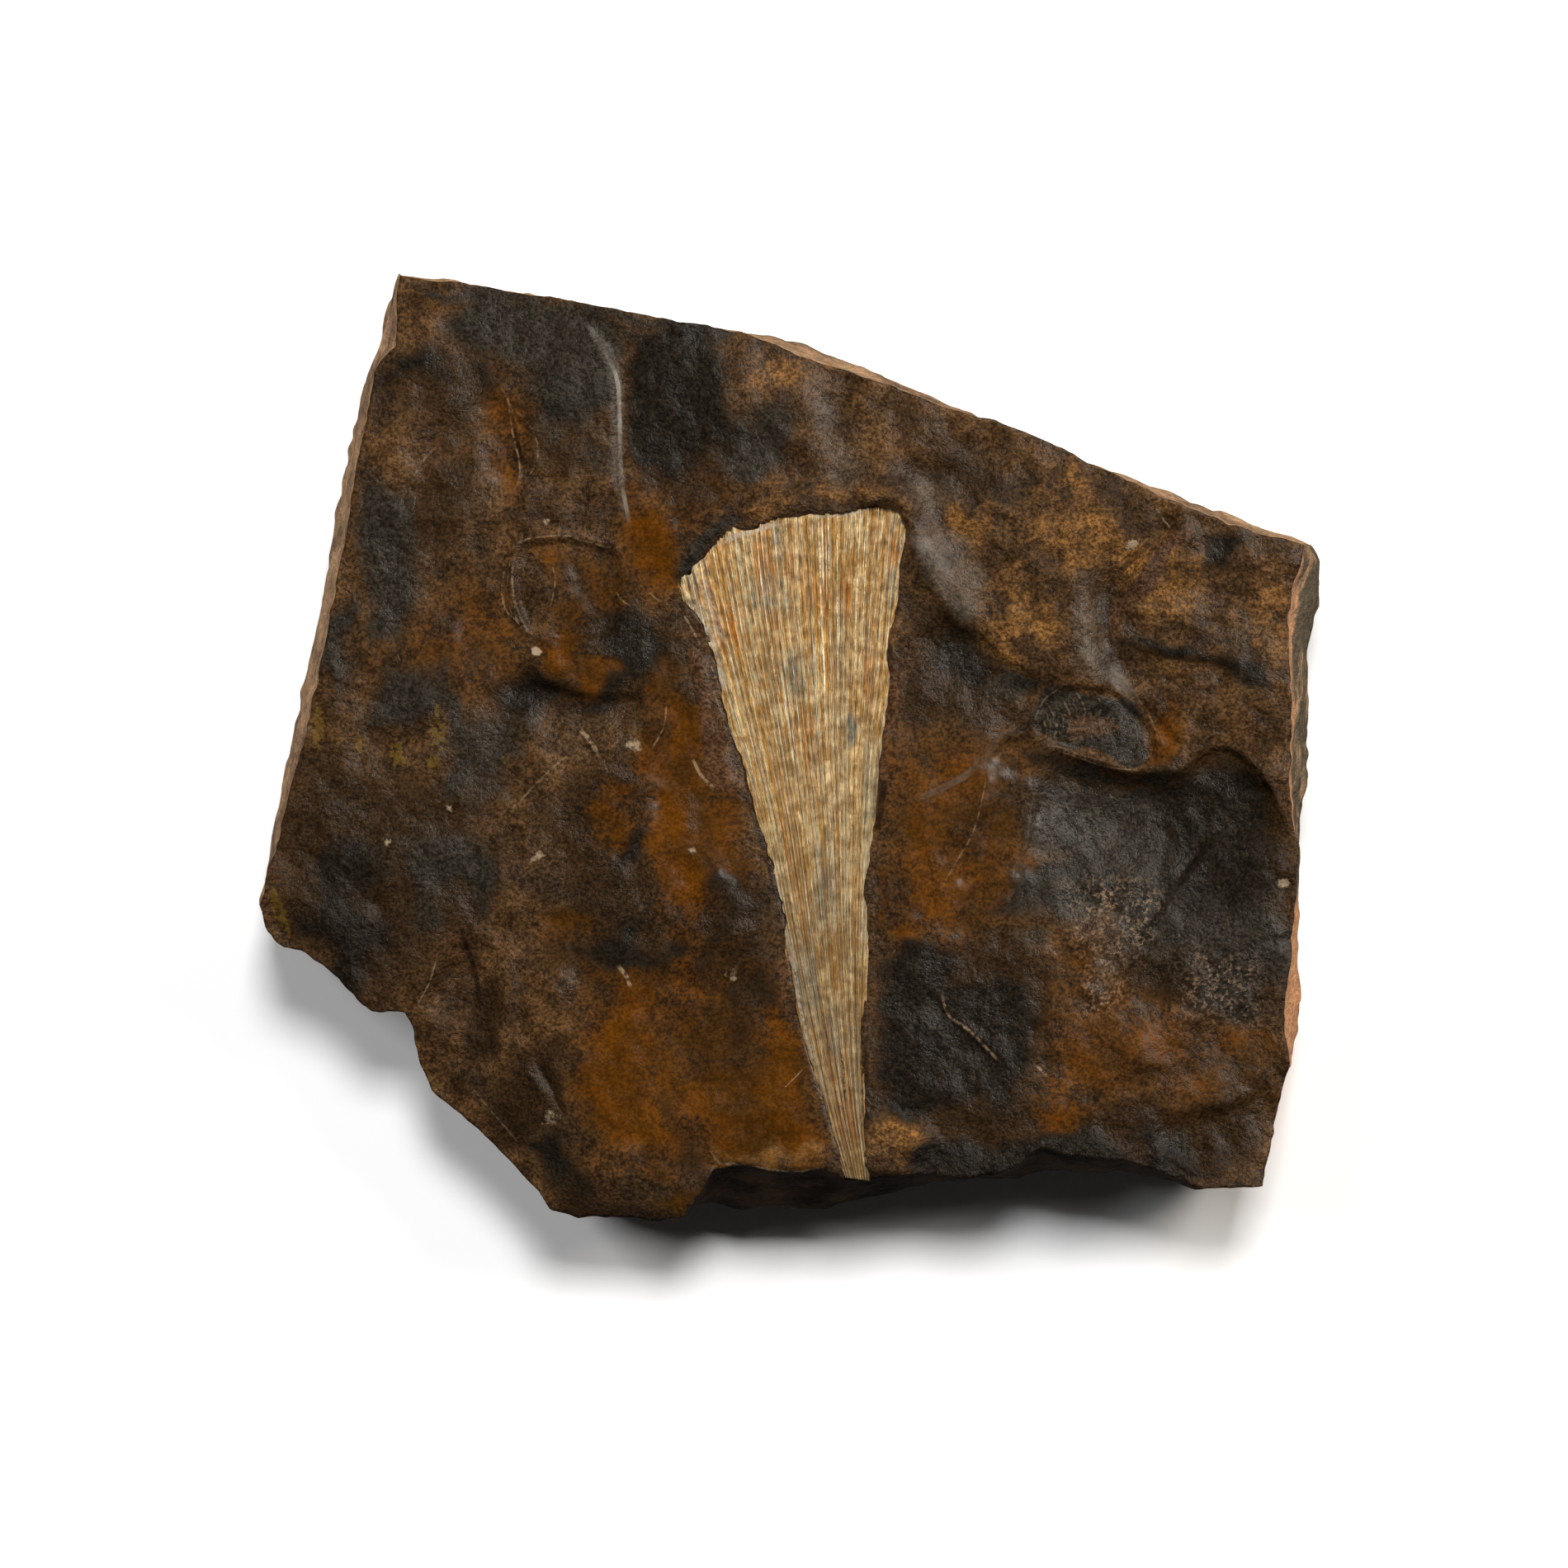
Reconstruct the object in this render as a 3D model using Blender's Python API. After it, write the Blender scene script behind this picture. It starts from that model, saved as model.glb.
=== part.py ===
"""Fossil leaf plate: a slab of dark silicified mudstone with a pale, fan shaped fossil leaf on its face.

The slab lies flat on its back, so +Z points out of the fossil face, +X is to the right of someone who
looks down on that face, and +Y is away from them. The origin is the middle of the underside.
Outlines and relief are written in millimetres on the face and scaled to metres when a mesh is made.
"""

import bmesh
import bpy
import numpy as np

MM = 0.001
FACE_HEIGHT = 20.0        # mean level of the fossil face above the underside
LEAF_UNDERSIDE = 18.1     # level of the bedding plane that the leaf lies on
SEAT_GAP = 0.3            # room between the leaf and its pocket
POCKET_REACH = 4.0        # how far the pocket runs out past the broken lower edge
POCKET_TOP = 30.0         # level that clears the highest ground over the pocket

FACE_COLUMNS = 52
FACE_ROWS = 42
LEAF_COLUMNS = 20
LEAF_ROWS = 34

BEDDING_STEP = 0.55       # how far single layers stand out of the flanks
FLANK_LEVELS = (0.12, 0.30, 0.50, 0.72, 0.92, 1.0)
WIDEST_LEVEL = 0.50       # share of the way down at which a flank is widest
BACK_CHAMFER = 1.2        # extra inset of the last bit of flank, above the underside
CORNER_ROUNDING = 3.0     # how far along the rim the lower outline is evened out

# Rim of the fossil face, then the widest line of the flank below it: x, y, x, y at each point.
LEFT_RIM = [
    (-43.1, 52.0, -43.8, 53.0),
    (-43.4, 50.5, -44.7, 51.0),
    (-43.5, 47.8, -45.5, 48.4),
    (-43.5, 44.3, -46.4, 45.0),
    (-44.8, 42.9, -46.9, 43.4),
    (-46.0, 41.2, -47.4, 41.6),
    (-46.5, 37.8, -48.3, 38.3),
    (-47.0, 35.0, -48.9, 35.6),
    (-47.8, 31.2, -49.9, 31.6),
    (-49.3, 21.9, -51.6, 22.2),
    (-51.7, 9.6, -54.1, 9.8),
    (-53.0, 3.2, -55.4, 3.2),
    (-55.2, -5.0, -57.1, -5.1),
    (-56.5, -10.0, -58.1, -10.2),
    (-57.6, -13.6, -58.9, -13.9),
    (-58.5, -17.3, -59.5, -17.6),
]
TOP_RIM = [
    (-43.1, 52.0, -43.8, 53.0),
    (-36.2, 51.1, -36.8, 52.1),
    (-28.0, 49.8, -28.5, 50.7),
    (-18.0, 47.9, -18.3, 48.8),
    (-6.2, 45.9, -6.3, 46.7),
    (-2.6, 44.6, -2.6, 46.1),
    (1.5, 42.8, 1.9, 45.2),
    (7.4, 41.2, 7.9, 43.0),
    (13.8, 38.7, 14.5, 39.9),
    (17.4, 37.4, 18.1, 38.3),
    (23.8, 35.7, 24.0, 36.0),
    (31.0, 32.4, 31.2, 32.8),
    (33.3, 31.2, 33.6, 31.7),
    (36.5, 29.7, 37.5, 30.5),
    (41.0, 27.5, 42.2, 28.6),
    (47.4, 24.9, 48.7, 26.3),
    (51.0, 23.7, 52.6, 24.6),
    (56.5, 22.3, 58.4, 22.7),
]
RIGHT_RIM = [
    (56.5, 22.3, 58.4, 22.7),
    (56.2, 20.7, 59.5, 20.9),
    (55.0, 16.9, 59.3, 17.0),
    (54.8, 13.9, 58.8, 13.9),
    (54.9, 10.5, 58.2, 10.9),
    (55.1, 3.2, 58.1, 3.3),
    (55.0, -4.0, 57.9, -4.1),
    (55.2, -6.4, 57.2, -6.7),
    (55.4, -8.6, 57.0, -8.7),
    (55.9, -11.3, 57.1, -11.5),
    (55.7, -16.8, 56.9, -17.1),
    (55.0, -23.1, 56.7, -23.5),
    (54.4, -27.7, 57.1, -28.0),
    (54.3, -30.4, 56.7, -30.9),
    (55.0, -35.0, 55.9, -35.5),
    (54.0, -39.0, 54.2, -39.2),
    (53.3, -42.2, 53.4, -42.4),
    (52.0, -48.4, 52.0, -48.5),
]
BOTTOM_RIM = [
    (-58.5, -17.3, -59.5, -17.6),
    (-58.1, -19.7, -58.8, -19.9),
    (-57.2, -21.2, -57.6, -21.4),
    (-56.0, -22.1, -56.1, -22.2),
    (-54.0, -22.6, -54.0, -22.7),
    (-52.3, -23.5, -52.3, -23.6),
    (-50.0, -25.6, -50.0, -25.7),
    (-46.4, -29.4, -46.4, -29.5),
    (-42.7, -29.2, -42.7, -29.3),
    (-42.1, -30.2, -42.1, -30.3),
    (-41.0, -35.1, -41.0, -35.2),
    (-40.0, -37.9, -40.0, -38.0),
    (-34.6, -42.5, -34.6, -42.6),
    (-27.8, -49.2, -27.8, -49.3),
    (-26.6, -51.2, -26.6, -51.3),
    (-23.6, -52.1, -23.6, -52.2),
    (-18.6, -52.0, -18.6, -52.1),
    (-14.5, -52.4, -14.5, -52.5),
    (-11.8, -51.7, -11.8, -51.8),
    (-9.8, -49.0, -9.9, -51.4),
    (-8.6, -46.5, -8.2, -51.4),
    (-4.9, -45.9, -4.2, -51.6),
    (-2.1, -46.6, -2.0, -51.8),
    (0.6, -46.9, 0.8, -51.7),
    (3.6, -46.4, 3.8, -51.6),
    (5.6, -47.8, 5.9, -51.2),
    (9.7, -47.7, 10.2, -50.1),
    (12.9, -47.1, 13.6, -49.1),
    (20.1, -47.4, 20.4, -48.4),
    (24.2, -46.6, 24.4, -48.3),
    (27.6, -44.0, 28.6, -47.5),
    (30.1, -45.0, 30.8, -47.4),
    (37.4, -45.7, 37.6, -47.6),
    (42.9, -47.6, 42.8, -48.8),
    (45.1, -48.7, 45.2, -49.3),
    (50.6, -48.6, 50.6, -48.8),
    (52.0, -48.4, 52.0, -48.5),
]
# How far the underside lies inside the widest line, on each of the four sides.
TUCK = {"left": 1.5, "top": 1.6, "right": 1.8, "bottom": 4.6}
RISES_COUNT = 0.6         # along the top and bottom rims, climbing counts this much

# The leaf: a wedge that fans out from its base at the broken lower edge.
LEAF_LEFT = [
    (6.0, -47.4), (4.7, -43.1), (3.3, -38.4), (1.5, -33.0), (-0.4, -23.2), (-0.6, -19.6), (-2.0, -13.2),
    (-3.4, -8.7), (-5.7, -1.0), (-7.3, 4.3), (-8.3, 9.3), (-9.6, 13.3), (-12.0, 16.4), (-12.5, 18.3),
]
LEAF_RIGHT = [
    (8.7, -47.8), (8.1, -43.1), (8.0, -37.0), (7.8, -30.0), (8.5, -27.4), (8.5, -18.8), (8.1, -16.0),
    (9.4, -6.8), (9.8, -1.0), (11.0, 7.8), (10.5, 10.5), (11.6, 15.9), (12.0, 20.0), (12.9, 24.2),
]
LEAF_BASE = [(6.0, -47.4), (8.7, -47.8)]
LEAF_CROWN = [
    (-12.5, 18.3), (-10.0, 20.9), (-7.0, 23.9), (-4.3, 24.2), (-1.2, 25.5), (5.7, 26.0), (9.3, 27.0),
    (12.0, 26.3), (12.9, 24.2),
]
STRANDS = 10              # strong vein strands across the leaf
STRAND_HEIGHT = 0.22

# Broken edges: walking along the line, the ground on the left hand is higher.
# Each is a line, the height of its step, how wide its face is and how far the ground around it leans.
LEDGES = [
    ([(-17.9, 24.6), (-18.8, 26.9), (-19.2, 35.0), (-19.1, 39.6), (-20.3, 43.7), (-23.5, 47.3)], 0.9, 1.3, 8),
    ([(-32.6, 23.2), (-34.9, 38.7), (-37.6, 47.8)], 0.9, 3.5, 9),
    ([(-32.1, 40.0), (-31.0, 36.9), (-29.9, 30.5), (-30.8, 27.8)], 0.4, 0.5, 5),
    ([(-29.0, 10.0), (-27.6, 7.8), (-25.3, 6.4), (-21.7, 5.8), (-15.3, 6.0)], 1.3, 0.9, 5),
    ([(-48.0, 6.4), (-40.8, 6.4)], 0.4, 0.6, 3),
    ([(-48.0, 29.1), (-39.9, 28.7)], 0.4, 0.6, 3),
    ([(-41.7, -29.0), (-40.2, -25.5), (-39.0, -22.7)], 0.7, 0.8, 4),
    ([(-33.0, -20.5), (-32.3, -25.0), (-31.9, -30.5), (-32.6, -35.9)], 1.0, 0.9, 5),
    ([(-28.0, -19.5), (-26.7, -18.1), (-23.5, -17.7)], 0.4, 0.5, 3),
    ([(1.0, 31.0), (-0.5, 37.0), (-2.0, 43.0)], 0.7, 3.0, 8),
    ([(12.6, 28.0), (15.6, 18.7), (17.4, 15.0), (21.5, 11.9), (25.6, 8.7), (30.0, 7.6)], 1.7, 1.2, 7),
    ([(36.2, 9.8), (35.3, 12.7), (36.0, 18.3), (42.6, 25.3)], 1.7, 3.0, 9),
    ([(36.0, 12.3), (40.1, 10.5), (49.2, 9.1)], 0.8, 0.8, 5),
    ([(26.5, 1.0), (33.8, -1.5), (37.4, -2.4), (42.9, -2.7), (46.0, 0.0), (49.2, -0.4), (52.9, -5.0),
      (54.2, -7.2)], 2.6, 1.1, 8),
    ([(12.9, -5.9), (15.6, -5.0), (19.2, -3.1), (22.0, -0.4), (26.5, 1.9)], 0.6, 0.8, 4),
    ([(16.5, -26.8), (17.4, -29.5), (23.3, -35.0), (24.2, -36.3)], 0.4, 0.5, 3),
    ([(40.1, -40.0), (47.4, -39.5), (52.9, -36.8)], 1.3, 0.9, 5),
]
# Shallow scars where a flake came off: a closed outline, its depth and how wide its edge is.
SCARS = [
    ([(-31.2, 38.2), (-29.4, 36.9), (-28.0, 33.7), (-28.7, 30.0), (-30.1, 29.1)], 0.4, 1.0),
    ([(-31.0, 19.6), (-29.4, 22.8), (-24.4, 23.0), (-19.4, 21.9), (-18.6, 17.0), (-19.5, 13.0), (-24.0, 11.5),
      (-29.3, 12.8)], 0.5, 1.2),
    ([(26.8, 3.2), (30.1, 6.9), (36.5, 6.0), (40.6, 0.0), (37.4, -2.2), (30.1, 0.0)], 0.8, 0.8),
]
# Long rises and troughs: a line, its height (below nothing where it is a trough) and its half width.
RIDGES = [
    ([(-12.9, 18.9), (-11.9, 22.0), (-9.2, 24.5), (-6.5, 25.8), (-2.0, 27.0)], 0.8, 1.4),
    ([(-2.0, 27.0), (5.0, 27.4), (12.5, 28.0)], 0.4, 1.2),
    ([(-9.8, 8.0), (-7.3, -1.0), (-5.6, -7.5)], 0.5, 1.2),
    ([(12.0, 5.0), (11.2, 0.0), (11.0, -5.0)], 0.4, 0.9),
    ([(21.5, -5.0), (20.1, -9.5), (16.5, -15.9)], 0.35, 0.9),
    ([(-36.8, -23.0), (-35.4, -29.0), (-35.0, -37.0)], -1.8, 3.2),
    ([(-28.2, -34.0), (-24.4, -41.3)], -0.6, 0.8),
    ([(-48.0, -28.0), (-42.0, -35.0), (-33.0, -45.0), (-27.0, -52.0)], -3.6, 6.0),
    ([(-27.0, -53.5), (-11.0, -53.5)], -3.4, 4.0),
    ([(-60.0, -18.0), (-50.0, -28.0)], -1.6, 4.0),
]
# Rounded rises and hollows: middle x and y, half widths along x and y, height.
DOMES = [
    (38.0, -12.0, 12.0, 9.0, -1.3),
    (37.9, -33.1, 2.4, 2.4, 0.9),
    (13.3, -43.6, 2.4, 2.2, 0.6),
    (-16.3, 2.3, 2.7, 2.6, 0.4),
    (26.0, 22.0, 9.0, 7.0, 0.8),
    (-24.0, 8.5, 6.0, 2.5, 0.5),
    (20.0, 7.0, 6.0, 3.5, -0.9),
    (47.0, 17.0, 6.0, 5.0, -0.5),
    (-8.0, -35.0, 8.0, 7.0, -0.4),
]
SWELL_SCALE = 17.0        # spacing of the broad swells of the face
SWELL_HEIGHT = 0.45
LUMP_SCALE = 6.5          # spacing of the smaller lumps
LUMP_HEIGHT = 0.22


def smooth(amount):
    """Ease from 0 to 1, flat at both ends."""
    t = np.clip(amount, 0.0, 1.0)
    return t * t * (3.0 - 2.0 * t)


def noise(x, y, scale, seed):
    """Smooth seeded noise, about -1 to 1, from a lattice of random heights a scale apart."""
    lattice = np.random.default_rng(seed).uniform(-1.0, 1.0, (97, 97))
    column = np.floor(x / scale).astype(int)
    row = np.floor(y / scale).astype(int)
    across = smooth(x / scale - column)
    along = smooth(y / scale - row)
    low = lattice[column % 97, row % 97] * (1 - across) + lattice[(column + 1) % 97, row % 97] * across
    high = (lattice[column % 97, (row + 1) % 97] * (1 - across)
            + lattice[(column + 1) % 97, (row + 1) % 97] * across)
    return low * (1 - along) + high * along


def measure_from(x, y, line):
    """For each place: its distance to a line, +1 or -1 for the line's left or right, and 0 to 1 along it."""
    points = np.asarray(line, float)
    steps = np.diff(points, axis=0)
    lengths = np.hypot(steps[:, 0], steps[:, 1])
    before = np.concatenate(([0.0], np.cumsum(lengths)[:-1]))
    dx = x[..., None] - points[:-1, 0]
    dy = y[..., None] - points[:-1, 1]
    share = np.clip((dx * steps[:, 0] + dy * steps[:, 1]) / lengths**2, 0.0, 1.0)
    gaps = np.hypot(dx - share * steps[:, 0], dy - share * steps[:, 1])
    nearest = gaps.argmin(axis=-1)[..., None]
    sides = np.sign(steps[:, 0] * dy - steps[:, 1] * dx)
    along = (before + share * lengths) / lengths.sum()
    return tuple(np.take_along_axis(values, nearest, -1)[..., 0] for values in (gaps, sides, along))


def fade_ends(along, part=0.18):
    """1 in the middle of a line, easing to 0 at its two ends."""
    return smooth(np.minimum(along, 1.0 - along) / part)


def inside(x, y, ring):
    """True where a place lies inside a closed outline, by counting the sides to its right."""
    points = np.asarray(ring, float)
    crossed = np.zeros(x.shape, bool)
    for (ax, ay), (bx, by) in zip(points, np.roll(points, -1, axis=0)):
        spans = (ay > y) != (by > y)
        reach = ax + (y - ay) * (bx - ax) / (by - ay if by != ay else 1.0)
        crossed ^= spans & (x < reach)
    return crossed


def swells(x, y):
    """The broad, even unevenness that the slab and the leaf share."""
    return SWELL_HEIGHT * noise(x, y, SWELL_SCALE, 11)


def relief(x, y):
    """Height of the fossil face above or below its mean level, in millimetres."""
    height = swells(x, y) + LUMP_HEIGHT * noise(x, y, LUMP_SCALE, 12)
    for line, rise, face, lean in LEDGES:
        gap, side, along = measure_from(x, y, line)
        height += rise * (smooth(side * gap / face + 0.5) - 0.5) * np.exp(-gap / lean) * fade_ends(along)
    for line, rise, half_width in RIDGES:
        gap, _, along = measure_from(x, y, line)
        height += rise * np.exp(-((gap / half_width) ** 2)) * (0.4 + 0.6 * fade_ends(along))
    for ring, depth, edge in SCARS:
        gap = measure_from(x, y, ring + ring[:1])[0]
        height -= depth * smooth(gap / edge) * inside(x, y, ring)
    for middle_x, middle_y, half_x, half_y, rise in DOMES:
        height += rise * np.exp(-(((x - middle_x) / half_x) ** 2) - ((y - middle_y) / half_y) ** 2)
    return height


def spread(points, count, rises_count=1.0):
    """Even stations along a line: count + 1 rows of its columns, spaced by the length of its first two."""
    points = np.asarray(points, float)
    steps = np.diff(points[:, :2], axis=0)
    travelled = np.concatenate(([0.0], np.cumsum(np.hypot(steps[:, 0], rises_count * steps[:, 1]))))
    stations = np.linspace(0.0, travelled[-1], count + 1)
    return np.column_stack([np.interp(stations, travelled, column) for column in points.T])


def fill_between(start, end, first, last):
    """Grid between four border lines: each inner point blends the borders it faces (a Coons patch)."""
    u = np.linspace(0.0, 1.0, len(first))[None, :, None]
    v = np.linspace(0.0, 1.0, len(start))[:, None, None]
    across = (1 - u) * start[:, None, :] + u * end[:, None, :]
    along = (1 - v) * first[None, :, :] + v * last[None, :, :]
    corners = ((1 - u) * (1 - v) * first[0] + u * (1 - v) * first[-1]
               + (1 - u) * v * last[0] + u * v * last[-1])
    return across + along - corners


def even_out(values, places, reach):
    """Average a closed row of values over their neighbours within a reach along the rim."""
    total = places[-1]
    apart = np.abs(places[:-1, None] - places[None, :-1])
    apart = np.minimum(apart, total - apart)
    weights = np.exp(-((apart / reach) ** 2))
    return (weights / weights.sum(axis=1, keepdims=True)) @ values


def make_material(name, colour, roughness):
    """A plain Principled material."""
    material = bpy.data.materials.new(name)
    material.use_nodes = True
    shader = material.node_tree.nodes["Principled BSDF"]
    shader.inputs["Base Color"].default_value = (*colour, 1.0)
    shader.inputs["Roughness"].default_value = roughness
    return material


def add_object(name, mesh, collection, material=None):
    """Put a mesh in a collection as a named object."""
    piece = bpy.data.objects.new(name, mesh)
    collection.objects.link(piece)
    if material:
        mesh.materials.append(material)
    return piece


def mapped_grid(bm, grid):
    """A modelling grid whose points take the places in an array of rows by columns by x, y, z."""
    rows, columns = grid.shape[:2]
    made = bmesh.ops.create_grid(bm, x_segments=columns - 1, y_segments=rows - 1, size=1.0)
    for vertex in made["verts"]:
        column = round((vertex.co.x + 1.0) / 2.0 * (columns - 1))
        row = round((vertex.co.y + 1.0) / 2.0 * (rows - 1))
        vertex.co = grid[row, column] * MM
    return made["verts"]


def rim_stations():
    """The rim once round, with its widest line and tuck: left down, bottom right, right up, top back."""
    left = spread(LEFT_RIM, FACE_ROWS)
    bottom = spread(BOTTOM_RIM, FACE_COLUMNS, RISES_COUNT)
    right = spread(RIGHT_RIM, FACE_ROWS)[::-1]
    top = spread(TOP_RIM, FACE_COLUMNS, RISES_COUNT)[::-1]
    runs = [(left, "left"), (bottom, "bottom"), (right, "right"), (top, "top")]
    stations = np.concatenate([run[:-1] for run, _ in runs])
    tucks = np.concatenate([np.full(len(run) - 1, TUCK[side]) for run, side in runs])
    return stations, tucks


def flank_rings(rim_heights):
    """Rings of the flank from below the rim down to the underside, each as x, y, z for every station."""
    stations, tucks = rim_stations()
    rim, widest = stations[:, :2], stations[:, 2:]
    steps = np.hypot(*np.diff(np.vstack([widest, widest[:1]]), axis=0).T)
    places = np.concatenate(([0.0], np.cumsum(steps)))
    eased = even_out(widest, places, CORNER_ROUNDING)
    heading = np.roll(eased, -1, axis=0) - np.roll(eased, 1, axis=0)
    heading /= np.hypot(heading[:, 0], heading[:, 1])[:, None]
    outward = np.column_stack([heading[:, 1], -heading[:, 0]])
    foot = eased - outward * even_out(tucks, places, 2 * CORNER_ROUNDING)[:, None]
    rings = []
    for level in FLANK_LEVELS:
        out = smooth(level / WIDEST_LEVEL) if level < WIDEST_LEVEL else 1.0
        back = max(0.0, (level - WIDEST_LEVEL) / (1.0 - WIDEST_LEVEL))
        place = rim + (widest - rim) * out
        place = place + (foot - place) * smooth(back)
        if level < 1.0:
            layer = noise(places[:-1], np.full(len(rim), 9.0 * level), 4.0, 21)
            place = place + outward * (BEDDING_STEP * layer * (1.0 - out * 0.5))[:, None]
        else:
            place = place - outward * BACK_CHAMFER
        rings.append(np.column_stack([place, rim_heights * (1.0 - level)]))
    return rings


def build_face_grid():
    """The fossil face as rows by columns of x, y, z."""
    left = spread(LEFT_RIM, FACE_ROWS)[:, :2]
    right = spread(RIGHT_RIM, FACE_ROWS)[:, :2]
    top = spread(TOP_RIM, FACE_COLUMNS, RISES_COUNT)[:, :2]
    bottom = spread(BOTTOM_RIM, FACE_COLUMNS, RISES_COUNT)[:, :2]
    plan = fill_between(left, right, top, bottom)
    heights = FACE_HEIGHT + relief(plan[..., 0], plan[..., 1])
    return np.dstack([plan, heights])


def make_stone_plate(collection, cutter):
    """The slab: the relief of its face, flanks ring by ring, a flat underside, and the leaf's pocket."""
    grid = build_face_grid()
    bm = bmesh.new()
    mapped_grid(bm, grid[::-1])
    rim = np.concatenate([grid[:-1, 0], grid[-1, :-1], grid[:0:-1, -1], grid[0, :0:-1]])
    rings = flank_rings(rim[:, 2])
    upper = rim
    for ring in rings:
        border = [edge for edge in bm.edges if edge.is_boundary]
        made = bmesh.ops.extrude_edge_only(bm, edges=border)
        for vertex in (item for item in made["geom"] if isinstance(item, bmesh.types.BMVert)):
            station = np.square(upper - np.array(vertex.co) / MM).sum(axis=1).argmin()
            vertex.co = ring[station] * MM
        upper = ring
    border = [edge for edge in bm.edges if edge.is_boundary]
    bmesh.ops.contextual_create(bm, geom=border)
    bmesh.ops.recalc_face_normals(bm, faces=bm.faces)
    mesh = bpy.data.meshes.new("stone_plate")
    bm.to_mesh(mesh)
    bm.free()
    mesh.shade_smooth()
    mesh.set_sharp_from_angle(angle=0.6)
    stone = make_material("dark_silicified_mudstone", (0.050, 0.030, 0.015), 0.45)
    plate = add_object("stone_plate", mesh, collection, stone)
    pocket = plate.modifiers.new("leaf pocket", "BOOLEAN")
    pocket.operation = "DIFFERENCE"
    pocket.solver = "EXACT"
    pocket.object = cutter
    return plate


def build_leaf_grid():
    """The leaf's upper surface: swells of the slab, with strong strands fanning out from the base."""
    left = spread(LEAF_LEFT, LEAF_ROWS)
    right = spread(LEAF_RIGHT, LEAF_ROWS)
    base = spread(LEAF_BASE, LEAF_COLUMNS)
    crown = spread(LEAF_CROWN, LEAF_COLUMNS)
    plan = fill_between(left, right, base, crown)
    across = np.linspace(0.0, 1.0, LEAF_COLUMNS + 1)
    strands = 0.5 - 0.5 * np.cos(2.0 * np.pi * STRANDS * across)
    heights = FACE_HEIGHT + swells(plan[..., 0], plan[..., 1]) + STRAND_HEIGHT * (strands - 0.5)
    return np.dstack([plan, heights])


def make_fossil_leaf(collection):
    """The mineralised leaf: its veined surface carried down to the flat plane that it lies on."""
    bm = bmesh.new()
    mapped_grid(bm, build_leaf_grid())
    made = bmesh.ops.extrude_face_region(bm, geom=list(bm.faces), use_keep_orig=True)
    for vertex in (item for item in made["geom"] if isinstance(item, bmesh.types.BMVert)):
        vertex.co.z = LEAF_UNDERSIDE * MM
    bmesh.ops.recalc_face_normals(bm, faces=bm.faces)
    mesh = bpy.data.meshes.new("fossil_leaf")
    bm.to_mesh(mesh)
    bm.free()
    mesh.shade_smooth()
    mesh.set_sharp_from_angle(angle=0.9)
    mineral = make_material("pale_leaf_mineral", (0.38, 0.25, 0.12), 0.60)
    return add_object("fossil_leaf", mesh, collection, mineral)


def make_pocket_cutter(collection):
    """A tall prism of the leaf's outline with room round it, open at the broken lower edge."""
    left, crown = np.array(LEAF_LEFT), np.array(LEAF_CROWN)
    right = np.array(LEAF_RIGHT)[::-1]
    outline = np.concatenate([left, crown[1:], right[1:]])
    heading = np.gradient(outline, axis=0)
    heading /= np.hypot(heading[:, 0], heading[:, 1])[:, None]
    outline = outline + SEAT_GAP * np.column_stack([-heading[:, 1], heading[:, 0]])
    run_out = np.array([0.0, -POCKET_REACH])
    outline = np.concatenate([outline[:1] + run_out, outline, outline[-1:] + run_out])
    curve = bpy.data.curves.new("leaf_pocket_outline", "CURVE")
    curve.dimensions = "2D"
    curve.fill_mode = "BOTH"
    floor = LEAF_UNDERSIDE - SEAT_GAP
    curve.extrude = (POCKET_TOP - floor) / 2.0 * MM
    spline = curve.splines.new("POLY")
    spline.points.add(len(outline) - 1)
    for point, (x, y) in zip(spline.points, outline):
        point.co = (x * MM, y * MM, 0.0, 1.0)
    spline.use_cyclic_u = True
    source = add_object("leaf_pocket_outline", curve, collection)
    source.location.z = (POCKET_TOP + floor) / 2.0 * MM
    bpy.context.view_layer.update()
    evaluated = source.evaluated_get(bpy.context.evaluated_depsgraph_get())
    mesh = bpy.data.meshes.new_from_object(evaluated)
    bm = bmesh.new()
    bm.from_mesh(mesh)
    bmesh.ops.remove_doubles(bm, verts=bm.verts, dist=0.01 * MM)
    bmesh.ops.recalc_face_normals(bm, faces=bm.faces)
    bm.to_mesh(mesh)
    bm.free()
    cutter = add_object("leaf_pocket_cutter", mesh, collection)
    cutter.matrix_world = source.matrix_world
    bpy.data.objects.remove(source)
    cutter.hide_render = True
    cutter.display_type = "WIRE"
    return cutter


def main():
    """Clear the scene and build the slab and its leaf."""
    for item in list(bpy.data.objects):
        bpy.data.objects.remove(item)
    parts = bpy.data.collections.new("fossil_leaf_plate")
    cutters = bpy.data.collections.new("cutters")
    bpy.context.scene.collection.children.link(parts)
    bpy.context.scene.collection.children.link(cutters)
    cutter = make_pocket_cutter(cutters)
    make_stone_plate(parts, cutter)
    make_fossil_leaf(parts)


if __name__ == "__main__":
    main()
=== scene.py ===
"""Dresses the fossil leaf plate: the slab's broken face and flanks, the veined leaf and a plain studio."""

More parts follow.
